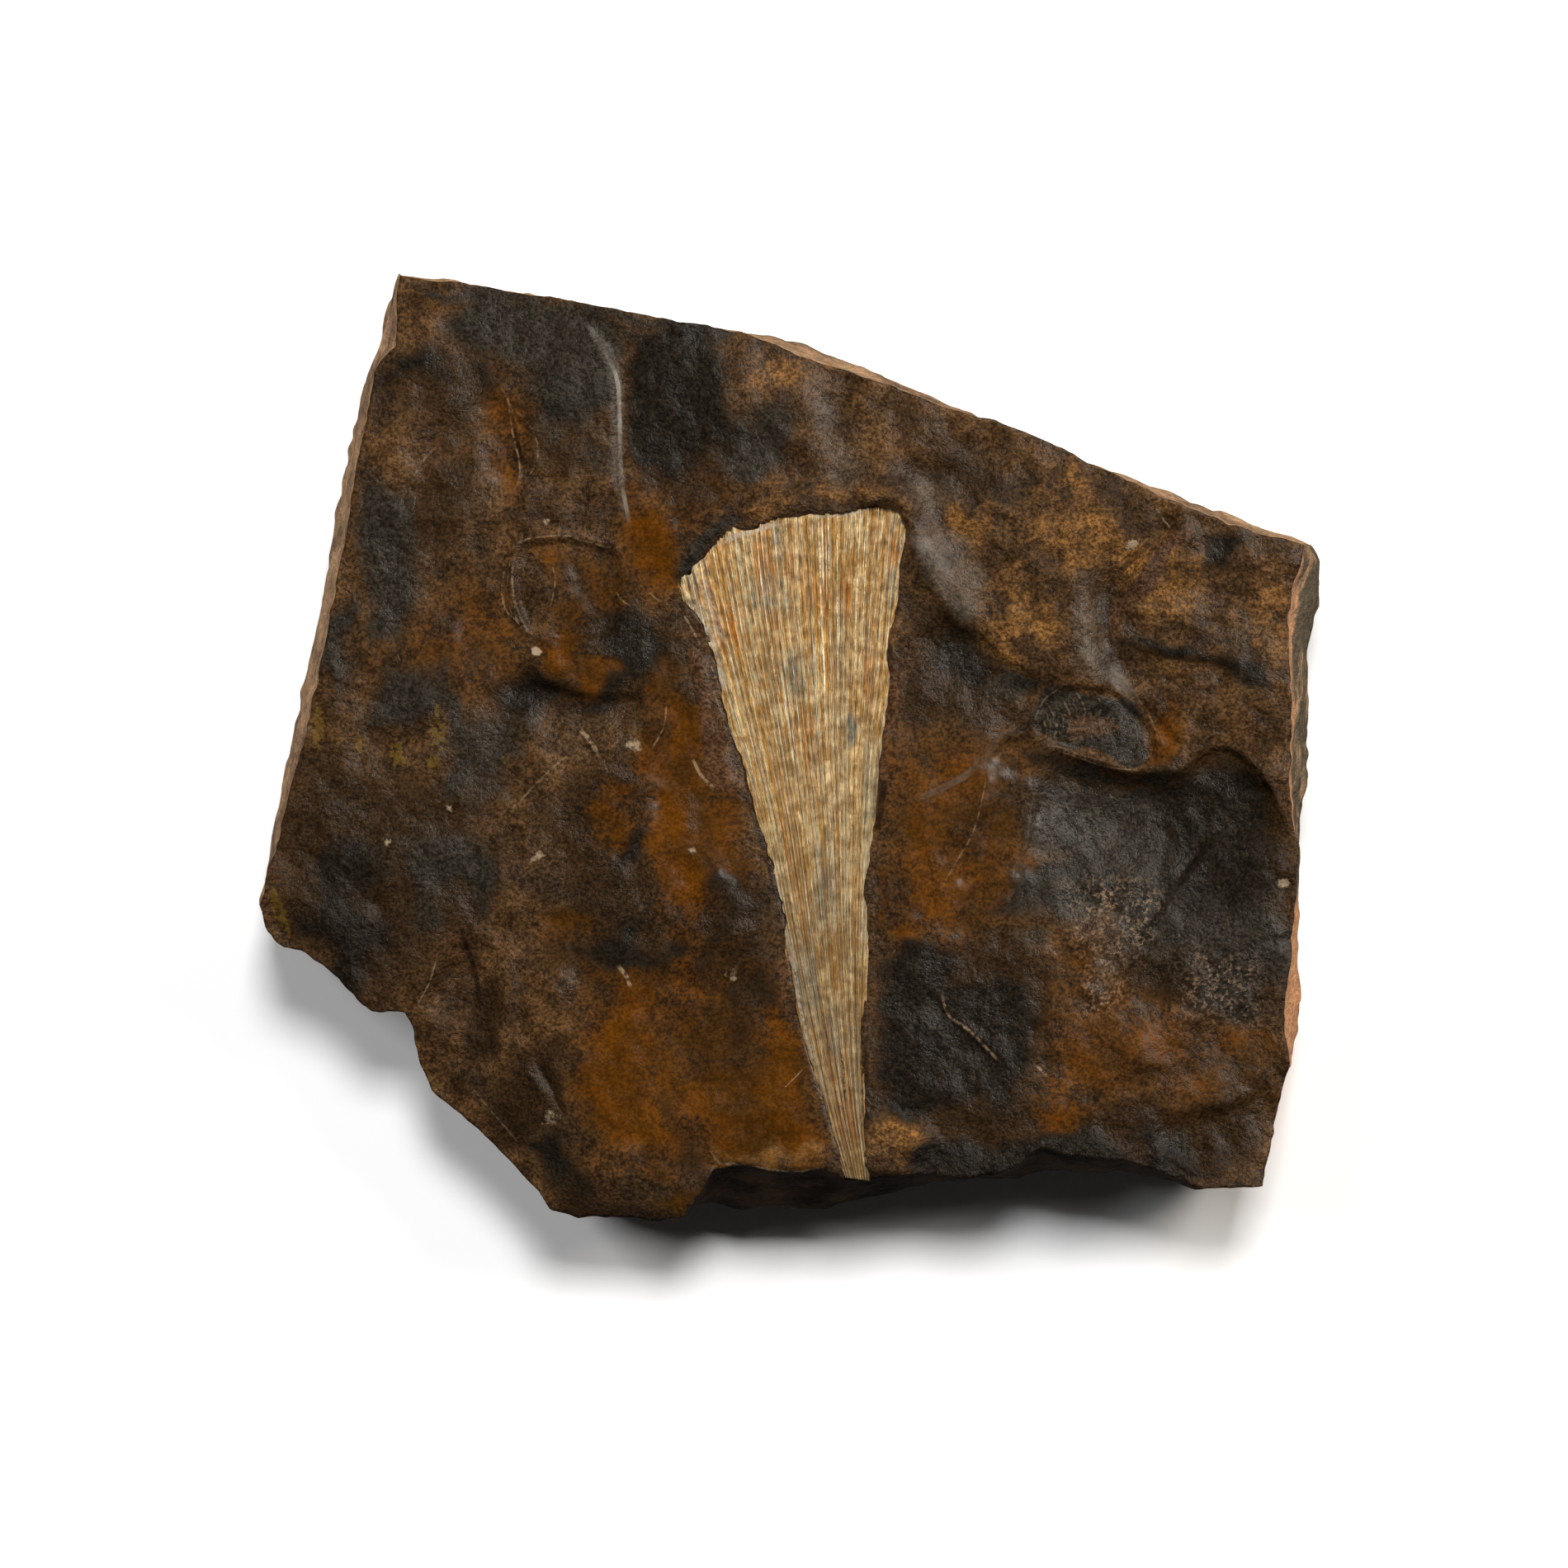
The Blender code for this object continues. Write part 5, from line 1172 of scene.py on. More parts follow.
def drawn_line(nodes, name, breaks):
    """A thin line from its stored distance and strength, broken up by noise."""
    width = nodes.remap(nodes.math("ABSOLUTE", nodes.value(name)), 0.6, 1.5, 1.0, 0.0)
    shown = nodes.times(nodes.value(name + "_on"), nodes.remap(breaks, 0.40, 0.60, 0.10, 1.10))
    return nodes.math("MINIMUM", nodes.times(width, shown), 1.0)


def new_material(name):
    """A material with one Principled shader; its nodes helper and that shader come back with it."""
    material = bpy.data.materials.new(name)
    material.use_nodes = True
    return material, Nodes(material.node_tree), material.node_tree.nodes["Principled BSDF"]


def fern_growth(nodes, place, fine):
    """Feathery growths of the hollow: narrow bands where twisted noise crosses its middle."""
    frond = nodes.noise(place, 420.0, 7.0, 0.70, 1.6)
    frond = nodes.remap(nodes.math("ABSOLUTE", nodes.minus(frond, 0.5)), 0.015, 0.05, 1.0, 0.0)
    frond = nodes.times(nodes.times(frond, nodes.remap(fine, 0.44, 0.58)), nodes.value("fern"))
    return nodes.times(frond, 0.6)


def flank_colour(nodes, look, place, grain):
    """Colour of the broken flanks: flattened noise as bedding, tan, grey or orange by the side."""
    layers = nodes.add("ShaderNodeMapping", {"Vector": place, "Scale": (1.0, 1.0, 2.2)}).outputs[0]
    strata = nodes.noise(layers, 160.0, 6.0, 0.6, 0.3)
    colour = nodes.mix(nodes.remap(strata, 0.35, 0.65), look.umber, look.brown)
    tan = nodes.mix(nodes.remap(strata, 0.30, 0.62, 0.15, 1.0), look.flank_brown, look.flank_tan)
    grey = nodes.mix(nodes.remap(strata, 0.48, 0.70), look.flank_grey, look.flank_tan)
    colour = nodes.mix(nodes.value("side_tan"), colour, tan)
    colour = nodes.mix(nodes.value("side_grey"), colour, grey)
    orange = patchy(nodes, nodes.value("side_orange"), strata, 1.6, 0.3)
    colour = nodes.mix(orange, colour, look.flank_orange)
    colour = nodes.shade(colour, nodes.remap(grain["Grain"], 0.30, 0.70, 0.75, 1.25))
    # Light flecks, partly painted glints.
    return nodes.mix(nodes.times(grain["Flecks"], 0.5), colour, look.fleck_and_glint)


def stone_material(look):
    """Silicified mudstone: brown under clouds of amber, ochre, charcoal and black, with fine lines; painted
    sheen, highlights, glints and shade are mixed into its colour.
    """
    material, nodes, shader = new_material("silicified_mudstone")
    place = nodes.add("ShaderNodeTexCoord").outputs["Object"]
    grain = use_group(nodes, "Mineral Grain", mineral_grain_group,
                      {"Place": place, "Cloud Count": 260.0, "Grain Count": 1400.0})
    cloud, fine, blotch = grain["Cloud"], grain["Grain"], grain["Blotch"]
    wide = nodes.noise(place, 110.0, 5.0, 0.62, 0.4)

    def zone(name, patchiness, softness, breaks=blotch):
        """A stored zone of the face, with a broken edge."""
        return patchy(nodes, nodes.value(name), breaks, patchiness, softness)

    rough = nodes.value("rough")
    amber, ochre = zone("amber", 0.8, 0.48), zone("ochre", 1.3, 0.55, cloud)
    black, charcoal = zone("black", 0.8, 0.32), zone("charcoal", 0.8, 0.32)
    sheen = zone("sheen", 0.7, 0.42)
    colour = nodes.mix(nodes.remap(cloud, 0.36, 0.64), look.dark_brown, look.brown)
    colour = nodes.mix(nodes.remap(wide, 0.36, 0.50, 0.45, 0.0), colour, look.charcoal)
    colour = nodes.mix(zone("umber", 0.8, 0.32), colour, look.umber)
    honey = nodes.mix(nodes.remap(wide, 0.38, 0.62), look.dark_amber, look.amber)
    colour = nodes.mix(amber, colour, honey)
    rust = nodes.mix(nodes.remap(cloud, 0.38, 0.62), look.dark_ochre, look.ochre)
    colour = nodes.mix(ochre, colour, rust)
    colour = nodes.mix(charcoal, colour, look.charcoal)
    colour = nodes.mix(zone("maroon", 0.7, 0.36), colour, look.maroon)
    colour = nodes.mix(black, colour, look.black)
    # Painted sheen: the sheen zones are greyed toward the highlight seen on slopes facing the sheen light.
    colour = nodes.mix(nodes.times(sheen, 0.40), colour, look.painted_sheen)
    colour = nodes.mix(fern_growth(nodes, place, fine), colour, look.frond)
    calm = nodes.larger(nodes.times(amber, 0.55), nodes.times(sheen, 0.35))
    grit = nodes.noise(place, 2800.0, 2.0, 0.7)
    gritty = nodes.shade(colour, nodes.remap(fine, 0.34, 0.66, 0.70, 1.34))
    gritty = nodes.shade(gritty, nodes.remap(grit, 0.36, 0.64, 0.62, 1.44))
    colour = nodes.mix(calm, gritty, colour)
    colour = nodes.shade(colour, nodes.remap(cloud, 0.30, 0.70, 0.88, 1.14))
    density = nodes.remap(rough, 0.0, 1.0, 0.30, 0.60)
    # Light flecks, partly painted glints, denser where the break is rough.
    colour = nodes.mix(nodes.times(grain["Flecks"], density), colour, look.fleck_and_glint)
    colour = nodes.mix(nodes.times(grain["Hairs"], nodes.times(rough, 0.35)), colour, look.fleck_and_glint)
    # Painted shade: darkened along the gaps beside the leaf, the creases and the feet of ledges.
    colour = nodes.shade(colour, nodes.remap(drawn_line(nodes, "painted_crease_shade", fine), 0.0, 1.0, 1.0, 0.22))
    colour = nodes.mix(nodes.times(drawn_line(nodes, "line", fine), 0.75), colour, look.line)
    # Painted highlights along the crests that catch the sheen light.
    colour = nodes.mix(drawn_line(nodes, "painted_highlight", wide), colour, look.painted_highlight)
    colour = nodes.mix(nodes.times(zone("yellow", 3.5, 0.3, fine), 0.4), colour, look.yellow)
    colour = nodes.mix(zone("pale", 1.6, 0.3, fine), colour, look.pale)

    fresh = nodes.value("fresh")
    colour = nodes.mix(fresh, colour, flank_colour(nodes, look, place, grain))
    nodes.tree.links.new(colour, shader.inputs["Base Color"])

    gloss = nodes.remap(rough, 0.0, 1.0, 0.33, 0.50)
    gloss = nodes.plus(gloss, nodes.times(nodes.plus(ochre, fresh), 0.14))
    gloss = nodes.minus(gloss, nodes.times(sheen, 0.07))
    gloss = nodes.plus(gloss, nodes.remap(fine, 0.3, 0.7, -0.04, 0.08))
    nodes.tree.links.new(gloss, shader.inputs["Roughness"])
    shader.inputs["Specular IOR Level"].default_value = 0.4
    pits = nodes.plus(nodes.times(cloud, 3.0), nodes.times(fine, 1.3))
    pits = nodes.plus(pits, nodes.times(grit, 0.25))
    depth = nodes.remap(nodes.larger(rough, fresh), 0.0, 1.0, 0.50, 1.2)
    depth = nodes.minus(depth, nodes.times(amber, 0.22))
    height = nodes.times(pits, depth)
    bump = nodes.add("ShaderNodeBump", {"Height": height, "Strength": 1.0, "Distance": 0.00026})
    nodes.tree.links.new(bump.outputs["Normal"], shader.inputs["Normal"])
    return material


def leaf_material(look):
    """Leaf mineral: cream vein lines on tan, with orange bands, blue-grey clouds and dark pores."""
    material, nodes, shader = new_material("leaf_mineral")
    place = nodes.add("ShaderNodeTexCoord").outputs["Object"]
    uv = nodes.add("ShaderNodeUVMap", uv_map="veins").outputs["UV"]
    split = nodes.add("ShaderNodeSeparateXYZ", {0: uv}).outputs
    grain = use_group(nodes, "Mineral Grain", mineral_grain_group,
                      {"Place": place, "Cloud Count": 330.0, "Grain Count": 2200.0})
    fine, cloud = grain["Grain"], grain["Cloud"]

    def streaks(across, along, detail):
        """Noise drawn out along the veins, at counts across the fan and along it."""
        turned = nodes.add("ShaderNodeCombineXYZ", {0: nodes.times(split[0], across),
                                                    1: nodes.times(split[1], along)})
        return nodes.noise(turned.outputs[0], 1.0, detail, 0.62)

    def crests(count, low, high):
        """Evenly spaced lines along the veins, a count of them across the fan."""
        turn = nodes.math("FRACT", nodes.times(split[0], count))
        return nodes.remap(nodes.math("ABSOLUTE", nodes.minus(turn, 0.5)), low, high)

    broad = streaks(7.0, 1.4, 3.0)
    medium = streaks(26.0, 1.6, 5.0)
    thin = streaks(80.0, 2.4, 5.0)
    upper = nodes.remap(split[1], 0.05, 0.5)
    vein = crests(float(VEINS), 0.36, 0.47)
    strand = crests(float(STRANDS), 0.34, 0.46)
    line = nodes.plus(nodes.times(vein, upper), nodes.times(strand, nodes.minus(1.0, upper)))
    line = nodes.times(line, nodes.remap(streaks(36.0, 1.3, 3.0), 0.40, 0.58, 0.0, 1.0))
    fibre = nodes.remap(streaks(130.0, 3.4, 3.0), 0.54, 0.61, 0.0, 0.95)
    line = nodes.larger(nodes.times(line, nodes.remap(fine, 0.36, 0.52, 0.3, 1.0)), fibre)
    mottle = nodes.noise(place, 620.0, 6.0, 0.68, 0.3)
    ground = nodes.plus(broad, nodes.times(mottle, 0.8))
    colour = nodes.mix(nodes.remap(ground, 0.82, 1.06), look.tan, look.sand)
    orange = nodes.larger(nodes.remap(medium, 0.53, 0.66, 0.0, 0.8),
                          patchy(nodes, nodes.value("orange"), medium, 2.2, 0.3))
    colour = nodes.mix(orange, colour, look.orange)
    blue = patchy(nodes, nodes.value("blue"), nodes.times(nodes.plus(cloud, thin), 0.5), 3.4, 0.55)
    blue = nodes.times(blue, nodes.remap(thin, 0.42, 0.56, 0.15, 1.0))
    haze = nodes.remap(streaks(42.0, 2.0, 5.0), 0.50, 0.64, 0.0, 0.42)
    haze = nodes.times(haze, nodes.remap(mottle, 0.40, 0.58, 0.1, 1.0))
    blue = nodes.larger(blue, haze)
    colour = nodes.mix(blue, colour, look.blue_grey)
    colour = nodes.mix(nodes.times(line, 0.92), colour, look.cream)
    groove = nodes.times(nodes.value("furrow"), nodes.remap(thin, 0.40, 0.56, 0.35, 1.25))
    colour = nodes.mix(groove, colour, look.furrow)
    fibres = streaks(150.0, 44.0, 3.0)
    colour = nodes.shade(colour, nodes.remap(fibres, 0.34, 0.66, 0.56, 1.46))
    colour = nodes.shade(colour, nodes.remap(mottle, 0.32, 0.68, 0.74, 1.24))
    colour = nodes.shade(colour, nodes.remap(split[1], 0.10, 0.75, 0.94, 1.06))
    colour = nodes.mix(nodes.times(grain["Flecks"], 0.8), colour, look.furrow)
    colour = nodes.mix(drawn_line(nodes, "seam", fine), colour, look.seam)
    # White edges, with painted highlights on the leaf's raised right rim.
    colour = nodes.mix(drawn_line(nodes, "line", fine), colour, look.white)
    nodes.tree.links.new(colour, shader.inputs["Base Color"])
    nodes.tree.links.new(nodes.remap(cloud, 0.3, 0.7, 0.60, 0.80), shader.inputs["Roughness"])
    height = nodes.plus(nodes.times(line, 0.9), nodes.times(fibres, 1.6))
    height = nodes.plus(height, nodes.times(mottle, 0.8))
    height = nodes.minus(height, nodes.times(grain["Flecks"], 0.35))
    bump = nodes.add("ShaderNodeBump", {"Height": height, "Strength": 0.9, "Distance": 0.00022})
    nodes.tree.links.new(bump.outputs["Normal"], shader.inputs["Normal"])
    return material


def floor_material(look):
    """Plain, pale studio paper."""
    material, _, shader = new_material("pale_floor")
    shader.inputs["Base Color"].default_value = (*look.floor, 1.0)
    shader.inputs["Roughness"].default_value = 0.9
    shader.inputs["Specular IOR Level"].default_value = 0.1
    return material


def add_piece(name, mesh, material):
    """Put a finished mesh in the scene, at the origin."""
    mesh.materials.append(material)
    piece = bpy.data.objects.new(name, mesh)
    bpy.context.scene.collection.objects.link(piece)
    return piece


def store_face_zones(mesh, x, y, on_face):
    """Store the colour zones of the face, with outlines that wander a little."""
    warp_x = x + 1.3 * noise(x, y, 5.5, 71) + 0.8 * noise(x, y, 2.2, 72)
    warp_y = y + 1.3 * noise(x, y, 5.5, 73) + 0.8 * noise(x, y, 2.2, 74)
    named = {"umber": UMBER, "charcoal": CHARCOAL, "black": BLACK_AND_SHADE, "amber": AMBER, "ochre": OCHRE,
             "rough": ROUGH, "maroon": MAROON, "fern": FERNS}
    for name, outlines in named.items():
        softer = AMBER_SOFTNESS if name == "amber" else ZONE_SOFTNESS
        set_value(mesh, name, zones(warp_x, warp_y, outlines, softer) * on_face)
    set_value(mesh, "sheen", zones(x, y, SHEEN) * on_face)
    set_value(mesh, "pale", cover(x, y, PALE) * on_face)
    set_value(mesh, "yellow", cover(x, y, YELLOW) * on_face)
    set_lines(mesh, x, y, {"line": PALE_LINES, "painted_highlight": HIGHLIGHT_STREAKS, "painted_crease_shade": CREASE_SHADE_LINES}, on_face)


def store_flank_zones(mesh, face_count, sides):
    """Store how tan, grey or orange each part of the flank is; the lower edge and the back stay brown.

    The bottom side's dark brown is painted shade, and the tan of the left and top is partly painted light.
    """
    count = len(mesh.vertices)
    tan, grey, orange, fresh = np.zeros(count), np.zeros(count), np.zeros(count), np.zeros(count)
    fresh[face_count:] = 1.0
    ring = len(sides["left"])
    levels = np.linspace(0.0, 1.0, FLANK_RINGS + 1)[1:]
    body = slice(face_count, face_count + ring * FLANK_RINGS)
    places = np.zeros(3 * count)
    mesh.vertices.foreach_get("co", places)
    y = places[1::3][body].reshape(FLANK_RINGS, ring) / MM
    depth = levels[:, None]
    # Tan on the left and top, partly painted light; the bottom side keeps dark brown as painted shade.
    tan[body] = ((sides["left"] + sides["top"])[None, :] * smooth((1.15 - depth) / 0.5)).ravel()
    grey[body] = (sides["right"][None, :] * smooth((1.15 - depth) / 0.5)).ravel()
    low_part = smooth((-14.0 - y) / 4.0)
    near_rim = smooth((0.22 - depth) / 0.12)
    orange[body] = (sides["right"][None, :] * np.maximum(low_part, 0.8 * near_rim)).ravel()
    for name, values in (("side_tan", tan), ("side_grey", grey), ("side_orange", orange), ("fresh", fresh)):
        set_value(mesh, name, values)


def build_slab(look):
    """The slab as one closed surface: the face's grid, rings down the flanks and rings across the back."""
    lines = rim_lines()
    face = face_surface(lines)
    rows, columns = face.shape[:2]
    rim = grid_rim(rows, columns)
    points = face.reshape(-1, 3)
    rings, sides = flank_surface(lines, points[rim, 2])
    back, middle = back_surface(rings[-1])
    everything = [points, *rings, *back, middle[None, :]]
    quads = [grid_quads(rows, columns)]
    upper = rim
    first = rows * columns
    for ring in rings + back:
        lower = first + np.arange(len(ring))
        quads.append(ring_quads(upper, lower))
        upper = lower
        first += len(ring)
    centre = np.full(len(upper), first)
    triangles = np.column_stack([upper, centre, np.roll(upper, -1)])
    points = np.concatenate(everything)
    mesh = make_mesh("slab", points, np.concatenate(quads), triangles)
    on_face = np.arange(len(points)) < rows * columns
    store_face_zones(mesh, points[:, 0], points[:, 1], on_face)
    store_flank_zones(mesh, rows * columns, sides)
    return add_piece("slab", mesh, stone_material(look))


def leaf_surface(look):
    """The leaf's upper face: the slab's swells, fine veins near the crown and strong strands at the base.

    A vein is a cosine across the fan, unevenly spaced and shifted a little along the leaf."""
    left = ragged(spread(LEAF_LEFT, LEAF_ROWS), 91, 0.2)
    right = ragged(spread(LEAF_RIGHT, LEAF_ROWS), 92)
    base = spread(LEAF_BASE, LEAF_COLUMNS)
    crown = ragged(spread(LEAF_CROWN, LEAF_COLUMNS), 93, 0.7)
    plan = fill_between(left, right, base, crown)
    v, u = np.meshgrid(np.linspace(0.0, 1.0, LEAF_ROWS + 1), np.linspace(0.0, 1.0, LEAF_COLUMNS + 1),
                       indexing="ij")
    x, y = plan[..., 0], plan[..., 1]
    first, last = curve(VEIN_LEFT), curve(VEIN_RIGHT)
    start, end = np.interp(y, first[:, 1], first[:, 0]), np.interp(y, last[:, 1], last[:, 0])
    u = (x - start) / (end - start)
    level = np.full(u.shape, 0.5)
    turned = u + 0.014 * noise(u * 14.0, level, 1.0, 81) + 0.008 * noise(u * 31.0, level, 1.0, 87)
    turned += 0.003 * noise(u * 9.0, v * 4.0, 1.0, 84)
    vein = 0.5 - 0.5 * np.cos(2.0 * np.pi * (VEINS * turned + 0.5))
    strand = 0.5 - 0.5 * np.cos(2.0 * np.pi * (STRANDS * turned + 0.5))
    fine = smooth((v - 0.05) / 0.45)
    ribs = look.vein_height * fine * (vein - 0.5) + look.strand_height * (1.0 - 0.8 * fine) * (strand - 0.5)
    ribs *= 0.75 + 0.5 * noise(u * 29.0, v * 7.0, 1.0, 85)
    uneven = LEAF_LUMPS * layered_noise(x, y, 4.0, 3, 82)
    uneven += LEAF_FIBRES * layered_noise(u * 60.0, v * 40.0, 2.0, 2, 83)
    uneven += CRUST_HEIGHT * zones(x, y, LEAF_CRUST) * layered_noise(x, y, 1.2, 2, 86)
    height = FACE_HEIGHT - LEAF_SINK + swells(x, y) + ribs + uneven
    furrow = smooth((0.22 - vein) / 0.2) * fine * 0.55 + smooth((0.20 - strand) / 0.2) * (1.0 - fine) * 0.8
    return np.dstack([plan, height]), turned, v, furrow


def build_leaf(look):
    """The leaf as one closed layer: its veined face, walls and a level underside in the pocket."""
    face, u, v, furrow = leaf_surface(look)
    face = face[::-1]
    rows, columns = face.shape[:2]
    rim = grid_rim(rows, columns)
    points = face.reshape(-1, 3)
    skirt = points[rim] - np.array([0.0, 0.0, LEAF_THICKNESS])
    middle = skirt.mean(axis=0)
    lower = len(points) + np.arange(len(rim))
    centre = np.full(len(rim), len(points) + len(rim))
    quads = np.concatenate([grid_quads(rows, columns), ring_quads(rim, lower)])
    triangles = np.column_stack([lower, centre, np.roll(lower, -1)])
    everything = np.concatenate([points, skirt, middle[None, :]])
    mesh = make_mesh("leaf", everything, quads, triangles)
    flat_u = u[::-1].reshape(-1)
    flat_v = v[::-1].reshape(-1)
    point_u = np.concatenate([flat_u, flat_u[rim], [0.5]])
    point_v = np.concatenate([flat_v, flat_v[rim], [0.5]])
    corners = np.zeros(len(mesh.loops), np.int32)
    mesh.loops.foreach_get("vertex_index", corners)
    layer = mesh.uv_layers.new(name="veins")
    layer.data.foreach_set("uv", np.column_stack([point_u[corners], point_v[corners]]).ravel())
    x, y = everything[:, 0], everything[:, 1]
    set_value(mesh, "blue", cover(x, y, LEAF_BLUE))
    set_value(mesh, "orange", cover(x, y, LEAF_ORANGE))
    set_value(mesh, "furrow", np.concatenate([furrow[::-1].reshape(-1), np.full(len(rim) + 1, 1.0)]))
    set_lines(mesh, x, y, {"line": LEAF_WHITE_AND_HIGHLIGHT_LINES, "seam": LEAF_DARK_LINES})
    return add_piece("leaf", mesh, leaf_material(look))


def colour_property(name, words, default):
    """A colour that a user can change."""
    return bpy.props.FloatVectorProperty(name=name, description=words, subtype="COLOR", size=3, min=0.0,
                                         max=1.0, default=default)


class StoneLook(bpy.types.PropertyGroup):
    """Colours of the slab."""

    dark_brown: colour_property("Dark brown", "Darker part of the ground colour", tone(61, 42, 24))
    brown: colour_property("Brown", "Lighter part of the ground colour", tone(87, 61, 35))
    umber: colour_property("Umber", "Dark brown zones", tone(48, 33, 18))
    charcoal: colour_property("Charcoal", "Dark grey zones", tone(46, 40, 32))
    # Darkest colour, also used for painted shade below ledges and along the lower rim.
    black: colour_property("Black", "Darkest zones", tone(32, 26, 19))
    amber: colour_property("Amber", "Waxy amber areas", tone(98, 55, 6))
    dark_amber: colour_property("Dark amber", "Darker parts of the amber areas", tone(70, 42, 9))
    ochre: colour_property("Ochre", "Rough ochre patches", tone(134, 92, 46))
    dark_ochre: colour_property("Dark ochre", "Darker parts of the ochre patches", tone(96, 66, 32))
    maroon: colour_property("Maroon", "Reddish rims beside the leaf and the worn bevel", tone(82, 56, 36))
    # Painted sheen: the grey that the sheen zones are mixed toward.
    painted_sheen: colour_property("Bloom", "Grey bloom of the waxy slopes", tone(88, 80, 70))
    frond: colour_property("Growths", "Feathery growths in the hollow", tone(136, 110, 86))
    # Colour of the painted highlights along the crests.
    painted_highlight: colour_property("Streaks", "Smooth grey streaks on crests", tone(150, 142, 130))
    # Light flecks, partly painted glints.
    fleck_and_glint: colour_property("Flecks", "Tiny light flecks", tone(172, 144, 110))
    line: colour_property("Lines", "Thin pale edges", tone(172, 145, 112))
    yellow: colour_property("Yellow", "Mustard stains near the left edge", tone(125, 98, 26))
    pale: colour_property("Pale", "Cream spots and chips", tone(175, 152, 122))
    flank_brown: colour_property("Flank brown", "Darker layers of the flanks", tone(106, 80, 61))
    flank_tan: colour_property("Flank tan", "Lighter layers of the flanks", tone(204, 160, 116))
    flank_grey: colour_property("Flank grey", "Grey layers of the right flank", tone(112, 98, 76))
    flank_orange: colour_property("Flank orange", "Orange strip of the right flank", tone(232, 166, 114))


class LeafLook(bpy.types.PropertyGroup):
    """Colours and relief of the leaf."""

    cream: colour_property("Cream", "Lines of the veins", tone(253, 238, 198))
    sand: colour_property("Sand", "Lighter ground between the veins", tone(224, 190, 132))
    tan: colour_property("Tan", "Darker ground between the veins", tone(196, 144, 72))
    orange: colour_property("Orange", "Rust coloured bands", tone(190, 120, 42))
    blue_grey: colour_property("Blue-grey", "Cool grey clouds", tone(128, 130, 116))
    furrow: colour_property("Furrows", "Lines between the veins", tone(84, 60, 32))
    # White of the thin edges, also used for the painted highlight on the leaf's right rim.
    white: colour_property("White", "Thin white edges", tone(214, 200, 176))
    seam: colour_property("Seams", "Dark lines in the lower part", tone(62, 54, 44))
    vein_height: bpy.props.FloatProperty(name="Vein height", description="Height of the fine veins, in mm",
                                         default=0.15, min=0.0, max=0.5)
    strand_height: bpy.props.FloatProperty(name="Strand height", description="Height of the strands, in mm",
                                           default=0.18, min=0.0, max=0.6)


def power_property(name, words, default):
    """The power of a light."""
    return bpy.props.FloatProperty(name=name, description=words, default=default, min=0.0, unit="POWER")


class StageLook(bpy.types.PropertyGroup):
    """Floor, light and camera."""

    floor: colour_property("Floor", "Colour of the floor", (0.88, 0.88, 0.88))
    key_power: power_property("Key light", "Power of the light that casts the shadow", 35.0)
    sheen_power: power_property("Sheen light", "Power of the low light on the right", 14.5)
    fill_power: power_property("Fill light", "Power of the soft light on the upper left", 19.0)
    lens: bpy.props.FloatProperty(name="Lens", description="Focal length of the camera, in mm",
                                  default=120.0, min=20.0)


def add_light(name, turn, lean, distance, size, power):
    """A square soft light facing the origin, turned right from +Y and leaning from overhead, in degrees."""
    lamp = bpy.data.lights.new(name, "AREA")
    lamp.size = size
    lamp.energy = power
    light = bpy.data.objects.new(name, lamp)
    turn, lean = np.radians([turn, lean]).tolist()
    flat = np.sin(lean)
    place = Vector((flat * np.sin(turn), flat * np.cos(turn), np.cos(lean))) * distance
    light.location = place
    light.rotation_euler = (-place).to_track_quat("-Z", "Y").to_euler()
    bpy.context.scene.collection.objects.link(light)
    return light


def add_camera(look):
    """The camera straight above, so far up that the photo's width in pixels covers the right stretch."""
    camera_data = bpy.data.cameras.new("camera")
    camera_data.lens = look.lens
    camera_data.sensor_width = 36.0
    photo_px = 1900
    px_in_a_mm = 11.0
    aim_x, aim_y = -0.77, -4.05
    seen_width = photo_px / px_in_a_mm
    distance = seen_width * look.lens / camera_data.sensor_width
    camera = bpy.data.objects.new("camera", camera_data)
    camera.location = (aim_x * MM, aim_y * MM, (FACE_HEIGHT + distance) * MM)
    bpy.context.scene.collection.objects.link(camera)
    bpy.context.scene.camera = camera


def build_stage(look):
    """A pale floor, a soft key from the top, a low light for the sheen, a fill, and the camera overhead."""
    side = 3.0
    mesh = bpy.data.meshes.new("floor")
    corners = [(-side, -side, 0.0), (side, -side, 0.0), (side, side, 0.0), (-side, side, 0.0)]
    mesh.from_pydata(corners, [], [(0, 1, 2, 3)])
    floor = add_piece("floor", mesh, floor_material(look))
    floor.visible_glossy = False
    key = add_light("key", turn=6.0, lean=27.0, distance=2.0, size=0.50, power=look.key_power)
    key.visible_glossy = False
    sheen = add_light("sheen", turn=58.0, lean=52.0, distance=1.5, size=0.56, power=look.sheen_power)
    sheen.data.color = (1.0, 0.93, 0.84)
    fill = add_light("fill", turn=-60.0, lean=42.0, distance=2.0, size=0.70, power=look.fill_power)
    fill.visible_glossy = False
    world = bpy.data.worlds.new("studio")
    world.use_nodes = True
    sky = world.node_tree.nodes["Background"]
    sky.inputs["Color"].default_value = (1.0, 0.98, 0.95, 1.0)
    sky.inputs["Strength"].default_value = 0.02
    bpy.context.scene.world = world
    bpy.context.scene.view_settings.view_transform = "Standard"
    add_camera(look)


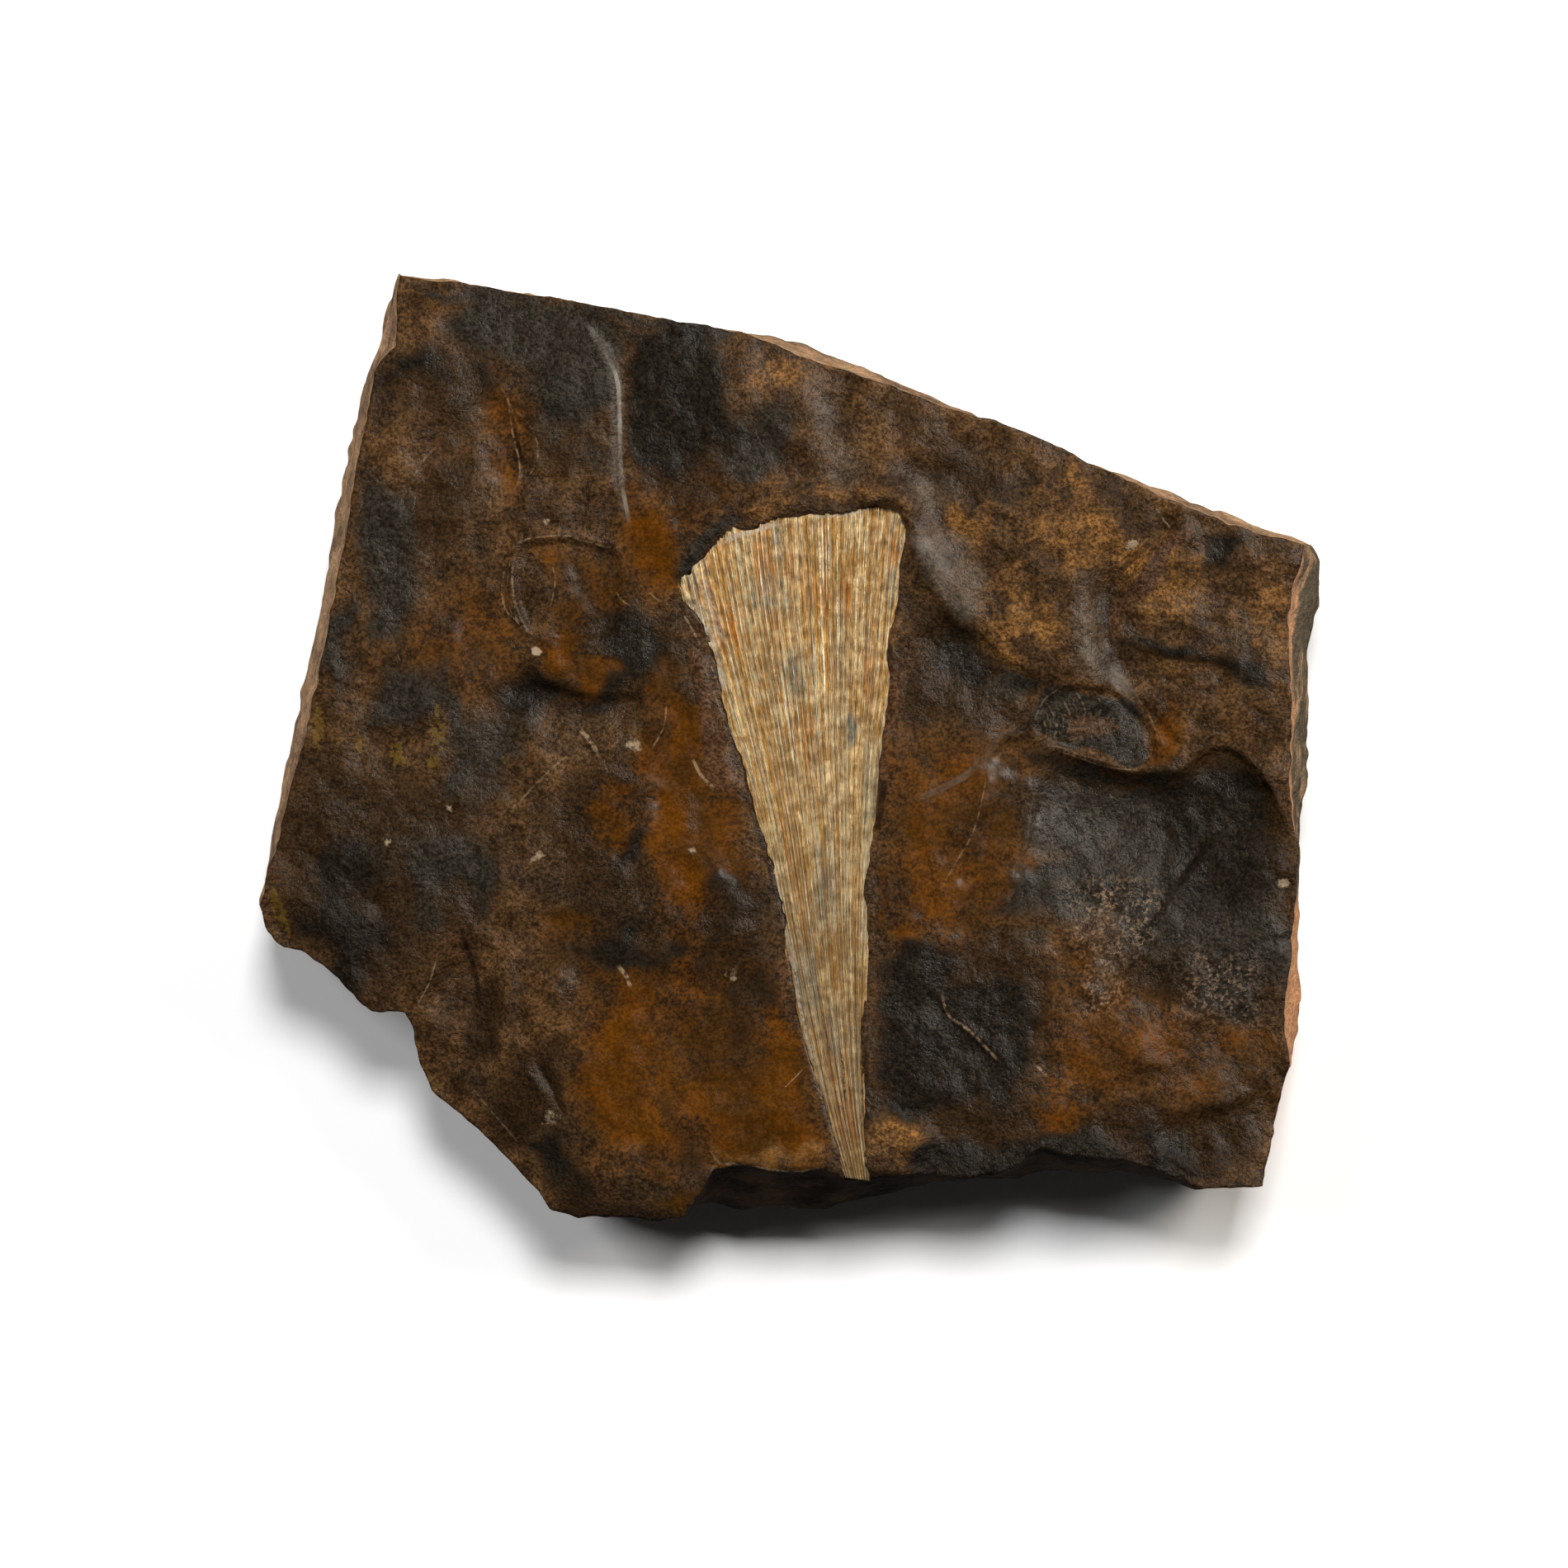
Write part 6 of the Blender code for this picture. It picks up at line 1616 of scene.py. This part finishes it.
class FOSSIL_OT_slab(bpy.types.Operator):
    """Make the stone slab"""

    bl_idname = "fossil.slab"
    bl_label = "Stone Slab"

    def execute(self, context):
        slab = build_slab(context.scene.fossil_stone)
        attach(slab, "root")
        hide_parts("stone_plate")
        return {"FINISHED"}


class FOSSIL_OT_leaf(bpy.types.Operator):
    """Make the fossil leaf"""

    bl_idname = "fossil.leaf"
    bl_label = "Fossil Leaf"

    def execute(self, context):
        leaf = build_leaf(context.scene.fossil_leaf_look)
        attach(leaf, "root")
        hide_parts("fossil_leaf")
        return {"FINISHED"}


class FOSSIL_OT_stage(bpy.types.Operator):
    """Make the floor, the lights and the camera"""

    bl_idname = "fossil.stage"
    bl_label = "Studio"

    def execute(self, context):
        build_stage(context.scene.fossil_stage)
        return {"FINISHED"}


class FOSSIL_PT_plate(bpy.types.Panel):
    """Lists the pieces, with the colours and sizes that they are made from"""

    bl_label = "Fossil Leaf Plate"
    bl_idname = "FOSSIL_PT_plate"
    bl_space_type = "VIEW_3D"
    bl_region_type = "UI"
    bl_category = "Fossil"

    def draw(self, context):
        rows = (("fossil.slab", "fossil_stone"), ("fossil.leaf", "fossil_leaf_look"),
                ("fossil.stage", "fossil_stage"))
        for operator, settings in rows:
            box = self.layout.box()
            box.operator(operator)
            look = getattr(context.scene, settings)
            for name in look.__annotations__:
                box.prop(look, name)


CLASSES = (StoneLook, LeafLook, StageLook, FOSSIL_OT_slab, FOSSIL_OT_leaf, FOSSIL_OT_stage, FOSSIL_PT_plate)


def register():
    """Register the classes and give the scene their settings."""
    for item in CLASSES:
        bpy.utils.register_class(item)
    bpy.types.Scene.fossil_stone = bpy.props.PointerProperty(type=StoneLook)
    bpy.types.Scene.fossil_leaf_look = bpy.props.PointerProperty(type=LeafLook)
    bpy.types.Scene.fossil_stage = bpy.props.PointerProperty(type=StageLook)


def unregister():
    """Take the settings and the classes away again."""
    del bpy.types.Scene.fossil_stage
    del bpy.types.Scene.fossil_leaf_look
    del bpy.types.Scene.fossil_stone
    for item in reversed(CLASSES):
        bpy.utils.unregister_class(item)


def main():
    """Make the plate and its studio."""
    register()
    bpy.ops.fossil.slab()
    bpy.ops.fossil.leaf()
    bpy.ops.fossil.stage()


if __name__ == "__main__":
    main()
